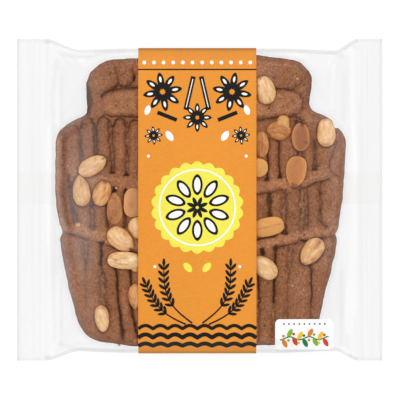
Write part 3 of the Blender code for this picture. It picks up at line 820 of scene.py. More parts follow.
    def colour(self):
        """Linear colour of the crust at each place."""
        x, y = self.x, self.y
        left_rim = (x < 0) & (y > LEFT_RIM[0]) & (y < LEFT_RIM[1])
        floor = np.clip(self.ridge / 0.5, 0, 1)
        coats = (
            (DOUGH_SMOOTH, 0.75 * self.collar + self.hoop / 0.6 + 0.3 * noise(x, y, 13, 21)),
            # Toast at the crease flanks, which also stands for painted shade
            (DOUGH_TOAST, 0.6 * self.flank_toast_and_shade * np.clip(0.7 + 0.6 * noise(x, y, 9, 27), 0, 1)),
            (DOUGH_SMOOTH, 0.8 * (1 - ease(self.depth / 4)) * (left_rim & (x < -90))),
            (DOUGH_TOAST, self.rim_toast(left_rim) + 0.3 * noise(x, y, 6, 22)),
            # Painted shade on the crease floors and in the wedges
            (DOUGH_HOLLOW_SHADE, 0.83 * self.hollow_shade * (1 - 0.85 * floor)),
            (DOUGH_ASH, 0.75 * floor),
            # Painted shade in pits and docking holes
            (DOUGH_HOLLOW_SHADE, 0.85 * self.pit_shade),
            # Painted shade in the fine cracks
            (DOUGH_HOLLOW_SHADE, 0.45 * self.crack),
            # Painted shadow on the dough against the almonds
            (DOUGH_HOLLOW_SHADE, 0.7 * self.contact_dip_and_shadow),
            (DOUGH_SHADE, 0.85 * self.cap_wall()),
            (DOUGH_SHADE, 0.5 * (1 - ease(self.depth / 1.8))),
        )
        tone = np.broadcast_to(linear(DOUGH), x.shape + (3,))
        for colour, share in coats:
            tone = blended(tone, colour, share)
        return tone * self.brightness()[..., None]


class Nodes:
    """The emptied node tree of a material or world, with short ways to add and join its nodes."""

    def __init__(self, owner, output):
        owner.use_nodes = True
        self.owner = owner
        self.tree = owner.node_tree
        self.tree.nodes.clear()
        self.output = self.add(output)

    def add(self, kind, **values):
        """A new node, with values for its sockets and settings by name."""
        node = self.tree.nodes.new(kind)
        for key, value in values.items():
            socket = node.inputs.get(key.replace("_", " "))
            if socket is not None:
                socket.default_value = value
            else:
                setattr(node, key, value)
        return node

    def join(self, source, target):
        """A link from one socket to another."""
        self.tree.links.new(source, target)

    def stored(self, name, socket="Color"):
        """What the mesh keeps at each point under a name."""
        return self.add("ShaderNodeAttribute", attribute_name=name).outputs[socket]

    def noise(self, scale, detail, roughness, stretch=(1, 1, 1)):
        """Noise on the piece's own coordinates, in metres, so scale is humps a metre."""
        place = self.add("ShaderNodeTexCoord")
        mapping = self.add("ShaderNodeMapping", Scale=stretch)
        self.join(place.outputs["Object"], mapping.inputs["Vector"])
        field = self.add("ShaderNodeTexNoise", Scale=scale, Detail=detail, Roughness=roughness)
        self.join(mapping.outputs["Vector"], field.inputs["Vector"])
        return field.outputs["Fac"]

    def varied(self, colour, factor, low, high, span=(0.38, 0.62)):
        """A colour made darker and lighter by a factor that runs over about the given span."""
        scale = self.add("ShaderNodeMapRange", From_Min=span[0], From_Max=span[1], To_Min=low, To_Max=high)
        self.join(factor, scale.inputs["Value"])
        scaled = self.add("ShaderNodeVectorMath", operation="SCALE")
        self.join(colour, scaled.inputs[0])
        self.join(scale.outputs["Result"], scaled.inputs["Scale"])
        return scaled.outputs["Vector"]

    def raised(self, height, distance, strength):
        """A bump normal from a height field."""
        node = self.add("ShaderNodeBump", Strength=strength, Distance=distance * MM)
        self.join(height, node.inputs["Height"])
        return node.outputs["Normal"]

    def mixed(self, share, first, second):
        """Two shaders mixed by a share of the second."""
        node = self.add("ShaderNodeMixShader")
        for source, target in zip((share, first, second), node.inputs):
            self.join(source, target)
        return node.outputs["Shader"]

    def coated(self, colour, normal, **values):
        """The owner, finished with one principled surface."""
        surface = self.add("ShaderNodeBsdfPrincipled", **values)
        self.join(colour, surface.inputs["Base Color"])
        self.join(normal, surface.inputs["Normal"])
        return self.finished(surface.outputs["BSDF"])

    def finished(self, surface):
        """The owner, finished with this shader."""
        self.join(surface, self.output.inputs["Surface"])
        return self.owner


def material(name):
    """The nodes of a new material."""
    return Nodes(bpy.data.materials.new(name), "ShaderNodeOutputMaterial")


def dough_material():
    """Baked crust: matt, sandy, with pores."""
    crust = material("biscuit_crust")
    fine = crust.noise(1500, 3, 0.8)
    colour = crust.varied(crust.stored("tone"), fine, 0.72, 1.28)
    colour = crust.varied(colour, crust.noise(640, 3, 0.7), 0.86, 1.14)
    colour = crust.varied(colour, crust.noise(900, 2, 0.6), 1.05, 0.7, (0.6, 0.68))
    return crust.coated(colour, crust.raised(fine, 0.5, 0.9), Roughness=0.85, Specular_IOR_Level=0.12)


def almond_material():
    """Blanched almond: waxy cream with a fine grain."""
    flesh = material("almond_flesh")
    fine = flesh.noise(700, 5, 0.6)
    return flesh.coated(
        flesh.varied(flesh.stored("tone"), fine, 0.95, 1.05), flesh.raised(fine, 0.12, 0.5),
        Roughness=0.5, Specular_IOR_Level=0.3, Subsurface_Weight=0.12,
        Subsurface_Radius=(0.9, 0.45, 0.2), Subsurface_Scale=0.0015,
    )


# Sockets of a mix node that mixes colours: its share and two colours, and its result
MIX_INPUTS = (0, 6, 7)
MIX_OUTPUT = 2


def film_material(name, clear, veiled):
    """Clear film: it lets light through, less where it is creased and where shade is painted on it, with a
    glossy skin, a faint milkiness and a painted sheen.
    """
    film = material(name)
    tint = film.add("ShaderNodeMix", data_type="RGBA")
    share, first, second = (tint.inputs[socket] for socket in MIX_INPUTS)
    first.default_value = (*clear, 1)
    second.default_value = (*veiled, 1)
    film.join(film.stored("veil_and_painted_shading", "Fac"), share)
    through = film.add("ShaderNodeBsdfTransparent")
    film.join(tint.outputs[MIX_OUTPUT], through.inputs["Color"])
    # A milky layer for the film's own milkiness and for the painted sheen over the slab
    milk_and_sheen = film.add("ShaderNodeBsdfDiffuse", Color=(0.95, 0.94, 0.96, 1))
    clouded_and_sheened = film.mixed(film.stored("haze_and_sheen", "Fac"), through.outputs["BSDF"], milk_and_sheen.outputs["BSDF"])
    gloss = film.add("ShaderNodeBsdfGlossy", Roughness=0.12)
    slant = film.add("ShaderNodeLayerWeight", Blend=0.5)
    normal = film.raised(film.noise(200, 1, 0.4), 0.12, 0.3)
    film.join(normal, gloss.inputs["Normal"])
    film.join(normal, slant.inputs["Normal"])
    steep = film.add("ShaderNodeMath", operation="POWER")
    steep.inputs[1].default_value = 5
    film.join(slant.outputs["Facing"], steep.inputs[0])
    mirror = film.add("ShaderNodeMapRange", To_Min=0.03, To_Max=0.5)
    film.join(steep.outputs["Value"], mirror.inputs["Value"])
    return film.finished(film.mixed(mirror.outputs["Result"], clouded_and_sheened, gloss.outputs["BSDF"]))


def paper_material(name, colour, low=0.97, high=1.03, glow=0.0, fold_shaded=False):
    """Smooth printed paper with a faint fibre grain, darker with painted shade where its mesh stores it."""
    paper = material(name)
    fibre = paper.noise(300, 4, 0.6, (1, 3, 1))
    flat = paper.add("ShaderNodeRGB")
    flat.outputs["Color"].default_value = (*linear(colour), 1)
    tone = paper.varied(flat.outputs["Color"], fibre, low, high)
    tone = paper.varied(tone, paper.noise(28, 2, 0.5), 0.985, 1.015)
    if fold_shaded:
        # Painted shade stored on the band where it folds down and at its side edges
        tone = paper.varied(tone, paper.stored("fold_shade", "Fac"), 1.0, 0.6, (0.0, 1.0))
    return paper.coated(
        tone, paper.raised(fibre, 0.03, 0.4), Roughness=0.55, Specular_IOR_Level=0.3,
        Emission_Color=(1, 1, 1, 1), Emission_Strength=glow,
    )


def store(mesh, name, values):
    """Keep a number for each point of a mesh, for its material to read."""
    layer = mesh.attributes.new(name, "FLOAT", "POINT")
    layer.data.foreach_set("value", np.asarray(values, dtype=np.float32).ravel())


def store_tone(mesh, tone):
    """Keep a colour for each point of a mesh, for its material to read."""
    layer = mesh.attributes.new("tone", "FLOAT_COLOR", "POINT")
    layer.data.foreach_set("color", np.column_stack([tone, np.ones(len(tone))]).astype(np.float32).ravel())


def piece(name, points, faces, made, sharp_degrees=None):
    """A mesh object from points in millimetres, riding on the pack's one body."""
    mesh = bpy.data.meshes.new(name)
    mesh.from_pydata((np.asarray(points, dtype=float) * MM).tolist(), [], faces)
    mesh.update()
    mesh.shade_smooth()
    if sharp_degrees is not None:
        mesh.set_sharp_from_angle(angle=math.radians(sharp_degrees))
    mesh.materials.append(made)
    thing = bpy.data.objects.new(name, mesh)
    bpy.context.collection.objects.link(thing)
    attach(thing, "root")
    return thing


def slab_lines():
    """The slab grid's x and y lines: fine where the slab shows, coarse under the band."""
    low, high = SLAB_LOOP.min(axis=0) - SLAB_STEP, SLAB_LOOP.max(axis=0) + SLAB_STEP
    left = np.arange(low[0], BAND_LEFT + HIDDEN_MARGIN, SLAB_STEP)
    right = np.arange(BAND_RIGHT - HIDDEN_MARGIN, high[0] + SLAB_STEP, SLAB_STEP)
    middle = np.linspace(left[-1], right[0], round((right[0] - left[-1]) / HIDDEN_STEP) + 1)[1:-1]
    return np.concatenate([left, middle, right]), np.arange(low[1], high[1] + SLAB_STEP, SLAB_STEP)


def edge_loop(faces):
    """The points round the open edge of a patch of faces, in order."""
    sides = dict.fromkeys((a, b) for face in faces for a, b in zip(face, face[1:] + face[:1]))
    step = {a: b for a, b in sides if (b, a) not in sides}
    start = next(iter(step))
    loop = [start]
    while step[loop[-1]] != start:
        loop.append(step[loop[-1]])
    return loop


def make_slab(made):
    """The biscuit slab: a relief grid cut to the outline, with a rounded edge and a flat back."""
    xs, ys = slab_lines()
    x, y = np.meshgrid(xs, ys, indexing="ij")
    depth, near_x, near_y = nearest_on(SLAB_LOOP, x, y)
    cell = (depth[:-1, :-1] + depth[1:, :-1] + depth[1:, 1:] + depth[:-1, 1:]) / 4 > 0
    used = np.zeros(x.shape, dtype=bool)
    inner = np.ones(x.shape, dtype=bool)
    for shift_x in (0, 1):
        for shift_y in (0, 1):
            window = np.s_[shift_x:shift_x + cell.shape[0], shift_y:shift_y + cell.shape[1]]
            used[window] |= cell
            inner[window] &= cell
    inner[0, :] = inner[-1, :] = inner[:, 0] = inner[:, -1] = False
    edge = used & ~inner
    x = np.where(edge, near_x, x)
    y = np.where(edge, near_y, y)
    dough = Dough(x, y, np.where(edge, 0.0, depth))
    numbers = np.full(x.shape, -1)
    numbers[used] = np.arange(used.sum())
    faces = quads(numbers)[cell.ravel()].tolist()
    points = np.stack([x[used], y[used], dough.height[used]], axis=1)
    tone = dough.colour()[used]

    loop = edge_loop(faces)
    ring = points[loop, :2]
    out = normals(np.roll(ring, -3, axis=0) - np.roll(ring, 3, axis=0))
    rings = np.arange(len(loop) * len(SLAB_WALL)).reshape(len(SLAB_WALL), -1) + len(points)
    for outset, height in SLAB_WALL:
        points = np.vstack([points, np.column_stack([ring + outset * out, np.full(len(loop), height)])])
    tone = np.vstack([tone, np.tile(WALL_LIGHT * linear(DOUGH), (rings.size, 1))])
    faces += quads(np.vstack([loop, rings]), rows_close=True).tolist() + [rings[-1, ::-1].tolist()]
    slab = piece("biscuit_slab", points, faces, made, SLAB_SHARP)
    store_tone(slab.data, tone)


def almond_girth(t, taper, blunt):
    """Width of an almond's outline at t, from -1 at the round end to 1 at the point."""
    def shape(place):
        round_end = np.clip(1 - np.abs(place) ** blunt, 0, 1) ** (1 / blunt)
        return round_end * (1 - taper * place) * (1 - 1.6 * taper * np.clip(place, 0, 1) ** 4)

    return shape(t) / shape(np.linspace(-1, 1, 201)).max()


def almond_thickness(flat):
    """Thickness of a whole or half almond."""
    return WHOLE_THICKNESS if flat < HALF_FLATNESS else HALF_THICKNESS


class Almond:
    """The shape and colour of one almond of its kind, half sunk in the slab."""

    def __init__(self, number, place):
        middle_x, middle_y, length, width, rise, degrees, taper, blunt, kind, nick, _ = place
        self.middle, self.edge, self.flat, self.wrinkle, self.dapple = ALMOND_KINDS[kind]
        self.seed = 100 + number
        t = -np.cos(np.linspace(0, math.pi, ALMOND_RINGS))[1:-1]
        side = np.linspace(-math.pi / 2, 1.5 * math.pi, ALMOND_SIDES, endpoint=False)
        t, side = np.meshgrid(t, side, indexing="ij")
        self.girth = almond_girth(t, taper, blunt)
        cosine, sine = np.cos(side), np.sin(side)
        box = (np.abs(cosine) ** self.flat + np.abs(sine) ** self.flat) ** (-1 / self.flat)
        box = np.where(sine > 0, box, 1)
        self.top = sine > 0
        self.across = cosine * box
        self.lane = self.across * self.girth * width / 2
        self.along = t * length / 2
        self.streak = self.lengthwise_streaks()
        self.lump = self.field(1, 70, 70, 4.0, 60)
        right, left = (WAVER * noise(t * 2.2 + shift, t * 0, 1, self.seed + more)
                       for shift, more in ((9, 5), (40, 6)))
        lean = np.where(cosine > 0, right, left) * np.abs(cosine)
        swell = 1 + self.wrinkle * (SWELL * self.streak + SWELL * self.lump)
        thick = almond_thickness(self.flat)
        x = self.along * (1 + 0.01 * self.lump)
        y = width / 2 * self.girth * self.across * (1 + lean)
        z = thick / 2 * self.girth ** 0.9 * sine * box * swell
        nick_side = NICK_ASIDE * width * (-1) ** number
        self.notch = nick * bump(np.hypot((x - NICK_ALONG * length) / 1.5, y - nick_side), NICK_REACH)
        x, y = turned(x - NICK_BITE * self.notch, y, -degrees)
        self.x = middle_x + x
        self.y = middle_y + y
        self.z = SLAB_TOP + rise - thick / 2 + z - NICK_DEPTH * self.notch

    def field(self, stretch, shift_x, shift_y, size, seed):
        """Noise over the almond, drawn out along it; the shifts keep its fields apart."""
        return noise(self.lane + shift_x, self.along / stretch + shift_y, size, self.seed + seed)

    def lengthwise_streaks(self):
        """Wavering streaks along the almond."""
        bow = self.lane + 0.8 * noise(self.along + 30, self.along * 0, 6, self.seed + 8)
        fine = noise(bow + 50, self.along / 4 + 50, 1.0, self.seed)
        return fine + 0.7 * noise(bow + 9, self.along / 3 + 50, 1.9, self.seed + 30)

    def browned(self, marks):
        """How far each place is browned by a list of marks."""
        brown = np.zeros(self.x.shape)
        for mark_x, mark_y, half_long, half_wide, slant, strength in marks:
            along, across = turned(self.x - mark_x, self.y - mark_y, slant)
            mark = bump(np.hypot(along / half_long, across / half_wide), 1.0)
            brown = np.maximum(brown, strength * mark * self.top)
        return brown

    def tone(self):
        """Linear colour at each place."""
        to_edge = 1 - (1 - np.abs(self.across)) * np.clip(self.girth, 0, 1)
        share = ease((to_edge - 0.3) / 0.7)[..., None]
        tone = linear(self.middle) * (1 - share) + linear(self.edge) * share
        spots = ease((self.field(2, 20, 20, 1.6, 90) - 0.3) / 0.4)
        fleck = self.field(1.6, 33, 44, 0.9, 120)
        grain = self.wrinkle * (0.18 * self.streak + 0.08 * self.lump + 0.11 * fleck)
        shade = (grain - 0.35 * self.dapple * spots)[..., None] * STREAK_SHARES
        tone = tone * np.clip(1 + shade, 0.3, 1.6)
        if self.flat > SMOOTH_FLATNESS:
            tone = tone * (1 + 0.08 * self.across)[..., None]
            tone = blended(tone, ALMOND_RIM, 0.45 * bump(to_edge - 0.93, 0.04) * self.top)
        tone = blended(tone, ALMOND_BROWN, self.browned(ALMOND_MARKS))
        tone = blended(tone, ALMOND_TIP, self.browned(ALMOND_SPECKS))
        return blended(tone, ALMOND_TIP, 0.9 * self.notch)


def make_almond(name, number, place, made):
    """One almond, or a broken bit of one."""
    shape = Almond(number, place)
    points = np.stack([shape.x, shape.y, shape.z], axis=-1).reshape(-1, 3)
    almond = piece(name, points, tube_faces(*shape.x.shape), made)
    store_tone(almond.data, shape.tone().reshape(-1, 3))


def contents_height(x, y):
    """Height of the slab's and almonds' top above the ground, and 0 beside the slab."""
    depth = nearest_on(SLAB_LOOP, x, y)[0]
    height = np.where(depth > 0, Dough(x, y, np.maximum(depth, 0)).height, 0.0)
    for middle_x, middle_y, length, width, rise, degrees, taper, blunt, kind, *_ in ALMONDS + FLAKES:
        along, across = turned(x - middle_x, y - middle_y, degrees)
        flat = ALMOND_KINDS[kind][2]
        girth = almond_girth(np.clip(along * 2 / length, -1, 1), taper, blunt) + 1e-6
        share = np.clip(np.abs(across * 2 / width) / girth, 0, 1)
        sunk = 1 - girth ** 0.9 * (1 - share ** flat) ** (1 / flat)
        almond = SLAB_TOP + rise - almond_thickness(flat) / 2 * sunk
        height = np.where(share < 1, np.maximum(height, almond + 0.15), height)
    return height


def into_body(x):
    """How far x lies inside the nearer fin's inner edge."""
    return np.minimum(x - BODY_LEFT, BODY_RIGHT - x)


def gather_share(x):
    """How much of the draw-in beside a fin is done at x: 0 at the fin, 1 in the body."""
    return ease(np.minimum((x - BODY_LEFT) / LEFT_GATHER, (BODY_RIGHT - x) / RIGHT_GATHER))


def half_width(x):
    """Half the pack's width at x: flat film at the fins, drawn in round the biscuit."""
    waist = BODY_HALF - BODY_WAIST * (1.0 - ease(into_body(x) / WAIST_REACH))
    return FLAT_HALF + (waist - FLAT_HALF) * gather_share(x)


def body_middle(x):
    """The y of the pack's middle line at x: the body lies a little lower than the fins."""
    return -BODY_DROP * gather_share(x)


def in_from_side(x, y):
    """How far a place lies inside the pack's nearer side."""
    return half_width(x) - np.abs(y - body_middle(x))


def crimp(x):
    """Height of the ripples pressed across the fins, and none in the body."""
    return CRIMP_HEIGHT * np.sin(2 * math.pi * x / CRIMP_PITCH) * (into_body(x) < 0)


def folds(x, y):
    """Height of the film's folds and small crinkles."""
    height = 0.06 * noise(x, y, 7, 61)
    for rise, half, line in FOLDS:
        height = height + rise * bump(along_line(line, x, y)[0], half)
    return height


class Film:
    """The taut film's height, held at the rim and borne up by the slab and almonds."""

    def __init__(self):
        self.xs = np.linspace(LEFT_END, RIGHT_END, round((RIGHT_END - LEFT_END) / DRAPE_STEP) + 1)
        self.ys = np.linspace(-FLAT_HALF, FLAT_HALF, round(2 * FLAT_HALF / DRAPE_STEP) + 1)
        x, y = np.meshgrid(self.xs, self.ys, indexing="ij")
        self.support = contents_height(x, y) + FILM_GAP
        held = (into_body(x) <= 0) | (in_from_side(x, y) <= 0)
        height = np.where(held, SEAM_HEIGHT, np.maximum(self.support, SEAM_HEIGHT))
        for _ in range(DRAPE_ROUNDS):
            mean = np.full(height.shape, SEAM_HEIGHT)
            beside = height[:-2, 1:-1] + height[2:, 1:-1] + height[1:-1, :-2] + height[1:-1, 2:]
            mean[1:-1, 1:-1] = beside / 4
            height = np.where(held, SEAM_HEIGHT, np.maximum(mean, self.support))
        self.height = height

    def read(self, field, x, y):
        """A field's value at arrays of x and y, between the grid's points."""
        column = np.clip(np.interp(x, self.xs, np.arange(len(self.xs))), 0, len(self.xs) - 1.001)
        row = np.clip(np.interp(y, self.ys, np.arange(len(self.ys))), 0, len(self.ys) - 1.001)
        i, j = column.astype(int), row.astype(int)
        a, b = column - i, row - j
        near = field[i, j] * (1 - a) + field[i + 1, j] * a
        far = field[i, j + 1] * (1 - a) + field[i + 1, j + 1] * a
        return near * (1 - b) + far * b

    def top(self, x, y):
        """Height of the film's upper layer at arrays of x and y."""
        inset = np.clip(in_from_side(x, y), 0, None)
        edge = np.clip(inset / SIDE_ROUND, 0.0, 1.0)
        swell = np.sqrt(1.0 - (1.0 - edge) ** 2) * (1.0 - edge)
        height = self.read(self.height, x, y) + SIDE_BULGE * gather_share(x) * swell
        height = height + folds(x, y) * ease(inset / 3) * ease(into_body(x) / 4)
        height = np.maximum(height, self.read(self.support, x, y) * (into_body(x) > 0))
        height = np.maximum(height, SEAM_HEIGHT + FIN_THICKNESS / 2)
        return np.where(inset > 0, height + crimp(x), SEAM_HEIGHT)


def film_veil_and_painted_shading(x, y):
    """How much the film dims what is behind it: more at the fins and their hems, with painted shade at the
    body's side edges and beside the slab, and painted light and shade along folds.
    """
    fin = into_body(x) < 0
    at_seal = (y > SEAL_LOW) & (y < SEAL_HIGH)
    on_fin = np.where(x > 0, RIGHT_FIN_VEIL, LEFT_FIN_VEIL) - SEAL_CLEARS * at_seal
    veil_and_painted_shading = np.where(fin, on_fin, BODY_VEIL + BODY_CLOUDS * noise(x, y, 26, 74))
    sway = 0.7 * noise(y, x * 0, 38, 71) * (np.abs(x) < 118)
    for change, half, line in STREAKS:
        veil_and_painted_shading = veil_and_painted_shading + change * bump(along_line(line, x + sway, y)[0], half)
    lines = 0.5 * noise(x, y / 30, 1.1, 72) + 0.5 * noise(x, y / 45, 2.7, 73)
    veil_and_painted_shading = veil_and_painted_shading + LINES_VEIL * lines * np.where(into_body(x) < 4, 1, 0.3)
    inset = in_from_side(x, y)
    hem = (HEM_VEIL + 0.12 * noise(x, y * 0, 1.3, 76)) * bump(inset, 2.4)
    # Painted shade at the sides' edge and seam, where the film turns down
    rim = EDGE_SHADE * bump(inset, 1.0) + SEAM_SHADE * bump(inset - 1.8, 1.1)
    depth = nearest_on(SLAB_LOOP, x, y)[0]
    # Painted shadow on the film beside the slab
    veil_and_painted_shading = veil_and_painted_shading + np.where(fin, hem, rim) + SLAB_SHADOW_ON_FILM * bump(depth, 2.6) * (depth < 0)
    return np.clip(veil_and_painted_shading * (1 - ease(depth / 1.4)), 0, 1)


def film_haze_and_sheen(film, x, y):
    """Milky light on the film: its own faint milkiness, and over the slab a painted sheen, strongest where it
    turns down to the left and right.
    """
    over = ease((film.read(film.height, x, y) - 11.5) / 2.0)
    depth = nearest_on(SLAB_LOOP, x, y)[0]
    rim = bump(np.clip(depth, 0, None), 3.2)
    left = LEFT_SHEEN * ease((-x - 68) / 26) * (1 - 0.6 * bump(depth - LEFT_TOAST[0], 2.6))
    left_rim = LEFT_RIM_SHEEN * rim * ease((-x - 94) / 8)
    left = (left + left_rim) * (1 - 0.85 * (y > 66) * rim)
    cap = CAP_SHEEN * bump(np.hypot((x + 80) / 12, (y - 92) / 16), 1)
    right = RIGHT_SHEEN * ease((x - 62) / 20)
    toast_depth, toast_half, _ = EDGE_TOAST
    right_rim = RIGHT_RIM_SHEEN * ease((x - 94) / 12) * (1 - 0.95 * bump(depth - toast_depth, toast_half))
    cloud = 0.85 + 0.3 * noise(x, y, 22, 75)
    return TOP_HAZE + over * (left + cap + right + right_rim) * cloud


def film_places():
    """The x of each section of the film: close together where it is crimped."""
    parts = []
    for start, stop, step in ((LEFT_END, BODY_LEFT, CRIMP_STEP), (BODY_LEFT, BODY_RIGHT, FILM_STEP),
                              (BODY_RIGHT, RIGHT_END, CRIMP_STEP)):
        parts.append(np.linspace(start, stop, round((stop - start) / step), endpoint=False))
    return np.concatenate(parts + [[RIGHT_END]])


def under_height(x, inset):
    """Height of the film's under layer, which rises from the ground to the fins."""
    edge = np.clip(inset / SIDE_ROUND, 0.0, 1.0)
    fin_under = SEAM_HEIGHT - FIN_THICKNESS / 2
    base = fin_under + (BASE_HEIGHT - fin_under) * ease(into_body(x) / END_RISE)
    return base + (fin_under - base) * (1.0 - np.sqrt(1.0 - (1.0 - edge) ** 2))


def make_film(film, made):
    """The film as one closed tube of sections, each round its top and then its back."""
    places = film_places()[:, None]
    rim = half_width(places) - RIM_INSETS
    inner = rim[:, -1:]
    fore = [-rim, inner * np.linspace(-1, 1, TOP_POINTS)[1:-1], rim[:, ::-1]]
    back = [rim[:, 1:], inner * np.linspace(1, -1, BACK_POINTS)[1:-1], -rim[:, :0:-1]]
    fore = np.hstack(fore) + body_middle(places)
    back = np.hstack(back) + body_middle(places)
    above = np.broadcast_to(places, fore.shape)
    below = np.broadcast_to(places, back.shape)
    under = under_height(below, in_from_side(below, back)) + crimp(below)
    sides = (above, below), (fore, back), (film.top(above, fore), under)
    points = np.stack([np.hstack(side) for side in sides], axis=-1)
    tube = piece("film", points.reshape(-1, 3), tube_faces(*points.shape[:2]), made, FILM_SHARP)
    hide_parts("bag")
    store(tube.data, "veil_and_painted_shading", np.hstack([film_veil_and_painted_shading(above, fore), np.full(back.shape, BACK_VEIL)]))
    store(tube.data, "haze_and_sheen", np.hstack([film_haze_and_sheen(film, above, fore), np.full(back.shape, BACK_HAZE)]))


def make_back_seal(made):
    """A folded strip of film along the back, under the pack and its fins."""
    x, y = np.meshgrid(film_places(), np.linspace(SEAL_LOW, SEAL_HIGH, SEAL_POINTS), indexing="ij")
    z = under_height(x, SIDE_ROUND) - SEAL_DROP + crimp(x)
    points = np.stack([x, y, z], axis=-1).reshape(-1, 3)
    numbers = np.arange(x.size).reshape(x.shape)
    strip = piece("back_seal", points, quads(numbers.T).tolist(), made)
    edge = np.minimum(y - SEAL_LOW, SEAL_HIGH - y)
    on_line = (edge > SEAL_LINE[0]) & (edge < SEAL_LINE[1])
    store(strip.data, "veil_and_painted_shading", np.where(on_line, SEAL_LINE_VEIL, SEAL_VEIL))
    store(strip.data, "haze_and_sheen", np.full(x.shape, SEAL_HAZE))


def turns_left(first, second, third):
    """Whether the way from first through second to third turns left."""
    first_way = np.subtract(second, first)
    way = np.subtract(third, first)
    return first_way[0] * way[1] - first_way[1] * way[0] > 0


def convex_loop(points):
    """The tight loop round a set of y, z points, anticlockwise."""
    points = sorted(set(map(tuple, points)))

    def chain(run):
        kept = []
        for point in run:
            while len(kept) > 1 and not turns_left(kept[-2], kept[-1], point):
                kept.pop()
            kept.append(point)
        return kept[:-1]

    return np.array(chain(points) + chain(points[::-1]))


class Band:
    """The paper band's section, by length along it from the middle of its top."""

    def __init__(self, film):
        across = np.linspace(-BODY_HALF, BODY_HALF, 160) - BODY_DROP
        cloud = [np.column_stack([across, under_height(0.0, BODY_HALF - np.abs(across + BODY_DROP))])]
        for x in np.arange(BAND_LEFT, BAND_RIGHT + 0.1, 4.0):
            cloud.append(np.column_stack([across, film.top(np.full(across.shape, x), across)]))
        loop = convex_loop(np.round(np.vstack(cloud), 3))
        closed = np.vstack([loop, loop[:1]])
        run = lengths_along(closed)
        at = np.linspace(0, run[-1], BAND_POINTS, endpoint=False)
        section = np.column_stack([np.interp(at, run, closed[:, axis]) for axis in (0, 1)])
        for _ in range(BAND_SMOOTHINGS):
            section = (np.roll(section, 1, axis=0) + 2 * section + np.roll(section, -1, axis=0)) / 4
        off_middle = section[:, 0] + BODY_DROP
        section[:, 0] = off_middle * BODY_HALF / np.abs(off_middle).max() - BODY_DROP
        out = normals(np.roll(section, -1, axis=0) - np.roll(section, 1, axis=0))
        self.inner = section + BAND_GAP * out
        self.outer = section + (BAND_GAP + BAND_THICKNESS) * out
        self.inner[:, 1] = np.clip(self.inner[:, 1], BAND_THICKNESS, BAND_HIGH[2] - BAND_THICKNESS)
        self.outer[:, 1] = np.clip(self.outer[:, 1], BAND_LOW[2], BAND_HIGH[2])
        self.measure()

    def measure(self):
        """Lay the outside out from the back, over the top towards +Y and round to the back."""
        upper = np.where(self.outer[:, 1] > BAND_HIGH[2] / 2)[0]
        start = upper[np.argmin(np.abs(self.outer[upper, 0]))]
        self.way = np.roll(self.outer, BAND_POINTS // 2 - start, axis=0)[::-1]
        run = lengths_along(self.way)
        self.run = run - run[BAND_POINTS // 2 - 1]

    def at(self, along):
        """The y and z at a length along the outside from the middle of its top."""
        return np.array([np.interp(along, self.run, self.way[:, axis]) for axis in (0, 1)])

    def put(self, lift):
        """A function from print coordinates, x and length along, to points above the paper."""
        def place(x, along):
            y, z = self.at(along)
            dy, dz = self.at(along + 1) - self.at(along - 1)
            size = math.hypot(dy, dz)
            return (x + BAND_MIDDLE, y - lift * dz / size, z + lift * dy / size)

        return place


def make_band(band, made):
    """The paper band as one closed loop of paper, with painted shade where it folds and at its sides."""
    inner = np.linspace(BAND_LEFT + BAND_ROWS_INSET, BAND_RIGHT - BAND_ROWS_INSET, BAND_ROWS)
    xs = np.concatenate([BAND_LEFT + BAND_INSETS, inner, BAND_RIGHT - BAND_INSETS[::-1]])
    rows = [(x, band.outer) for x in xs] + [(x, band.inner) for x in xs[::-1]]
    points = np.concatenate([np.column_stack([np.full(BAND_POINTS, x), loop]) for x, loop in rows])
    numbers = np.arange(len(points)).reshape(len(rows), BAND_POINTS)
    faces = quads(numbers, rows_close=True, rows_join=True).tolist()
    paper = piece("band_paper", points, faces, made, BAND_SHARP)
    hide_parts("band")
    off_middle = np.abs(points[:, 1] + BODY_DROP)
    rim = off_middle.max() - off_middle
    side = np.minimum(points[:, 0] - BAND_LEFT, BAND_RIGHT - points[:, 0])
    fold_shade = np.where(points[:, 1] > 0, TOP_FOLD_SHADE, BOTTOM_FOLD_SHADE) * bump(rim, 2.0)
    store(paper.data, "fold_shade", fold_shade + BESIDE_FOLD_SHADE * bump(rim, 7.0) + SIDE_EDGE_SHADE * bump(side, 2.0))


def arc(x, y, radius, start, stop, count=25, whole=True):
    """Points on an arc, in degrees, without its last one if it isn't whole."""
    turn = np.radians(np.linspace(start, stop, count, endpoint=whole))
    return np.column_stack([x + radius * np.cos(turn), y + radius * np.sin(turn)])


def circle(x, y, radius, count):
    """A round shape."""
    return arc(x, y, radius, 0, 360, count, whole=False)


def scalloped(x, y, radius, lobes, depth):
    """A round shape with a scalloped edge."""
    turn = np.linspace(0, 2 * math.pi, lobes * 8, endpoint=False)
    reach = radius - depth + depth * np.abs(np.sin(lobes * turn / 2))
    return np.column_stack([x + reach * np.cos(turn), y + reach * np.sin(turn)])


def petal(x, y, length, width, degrees, start=0):
    """A shape pointed at both ends, out along the angle from a distance of start from x, y."""
    t = np.linspace(0, math.pi, 11)
    along = length * (1 - np.cos(t)) / 2 + start
    across = width / 2 * np.sin(t) ** 1.2
    along = np.concatenate([along, along[-2:0:-1]])
    out_x, out_y = turned(along, np.concatenate([across, -across[-2:0:-1]]), -degrees)
    return np.column_stack([x + out_x, y + out_y])


def stroke(line, width):
    """Quads along a line of points, as wide as given, at each point if width is a list."""
    line = np.array(line, dtype=float)
    half = np.broadcast_to(np.array(width, dtype=float), len(line))[:, None] / 2
    right = normals(np.gradient(line, axis=0))
    left, right = line - half * right, line + half * right
    return [np.array([left[i], right[i], right[i + 1], left[i + 1]]) for i in range(len(line) - 1)]


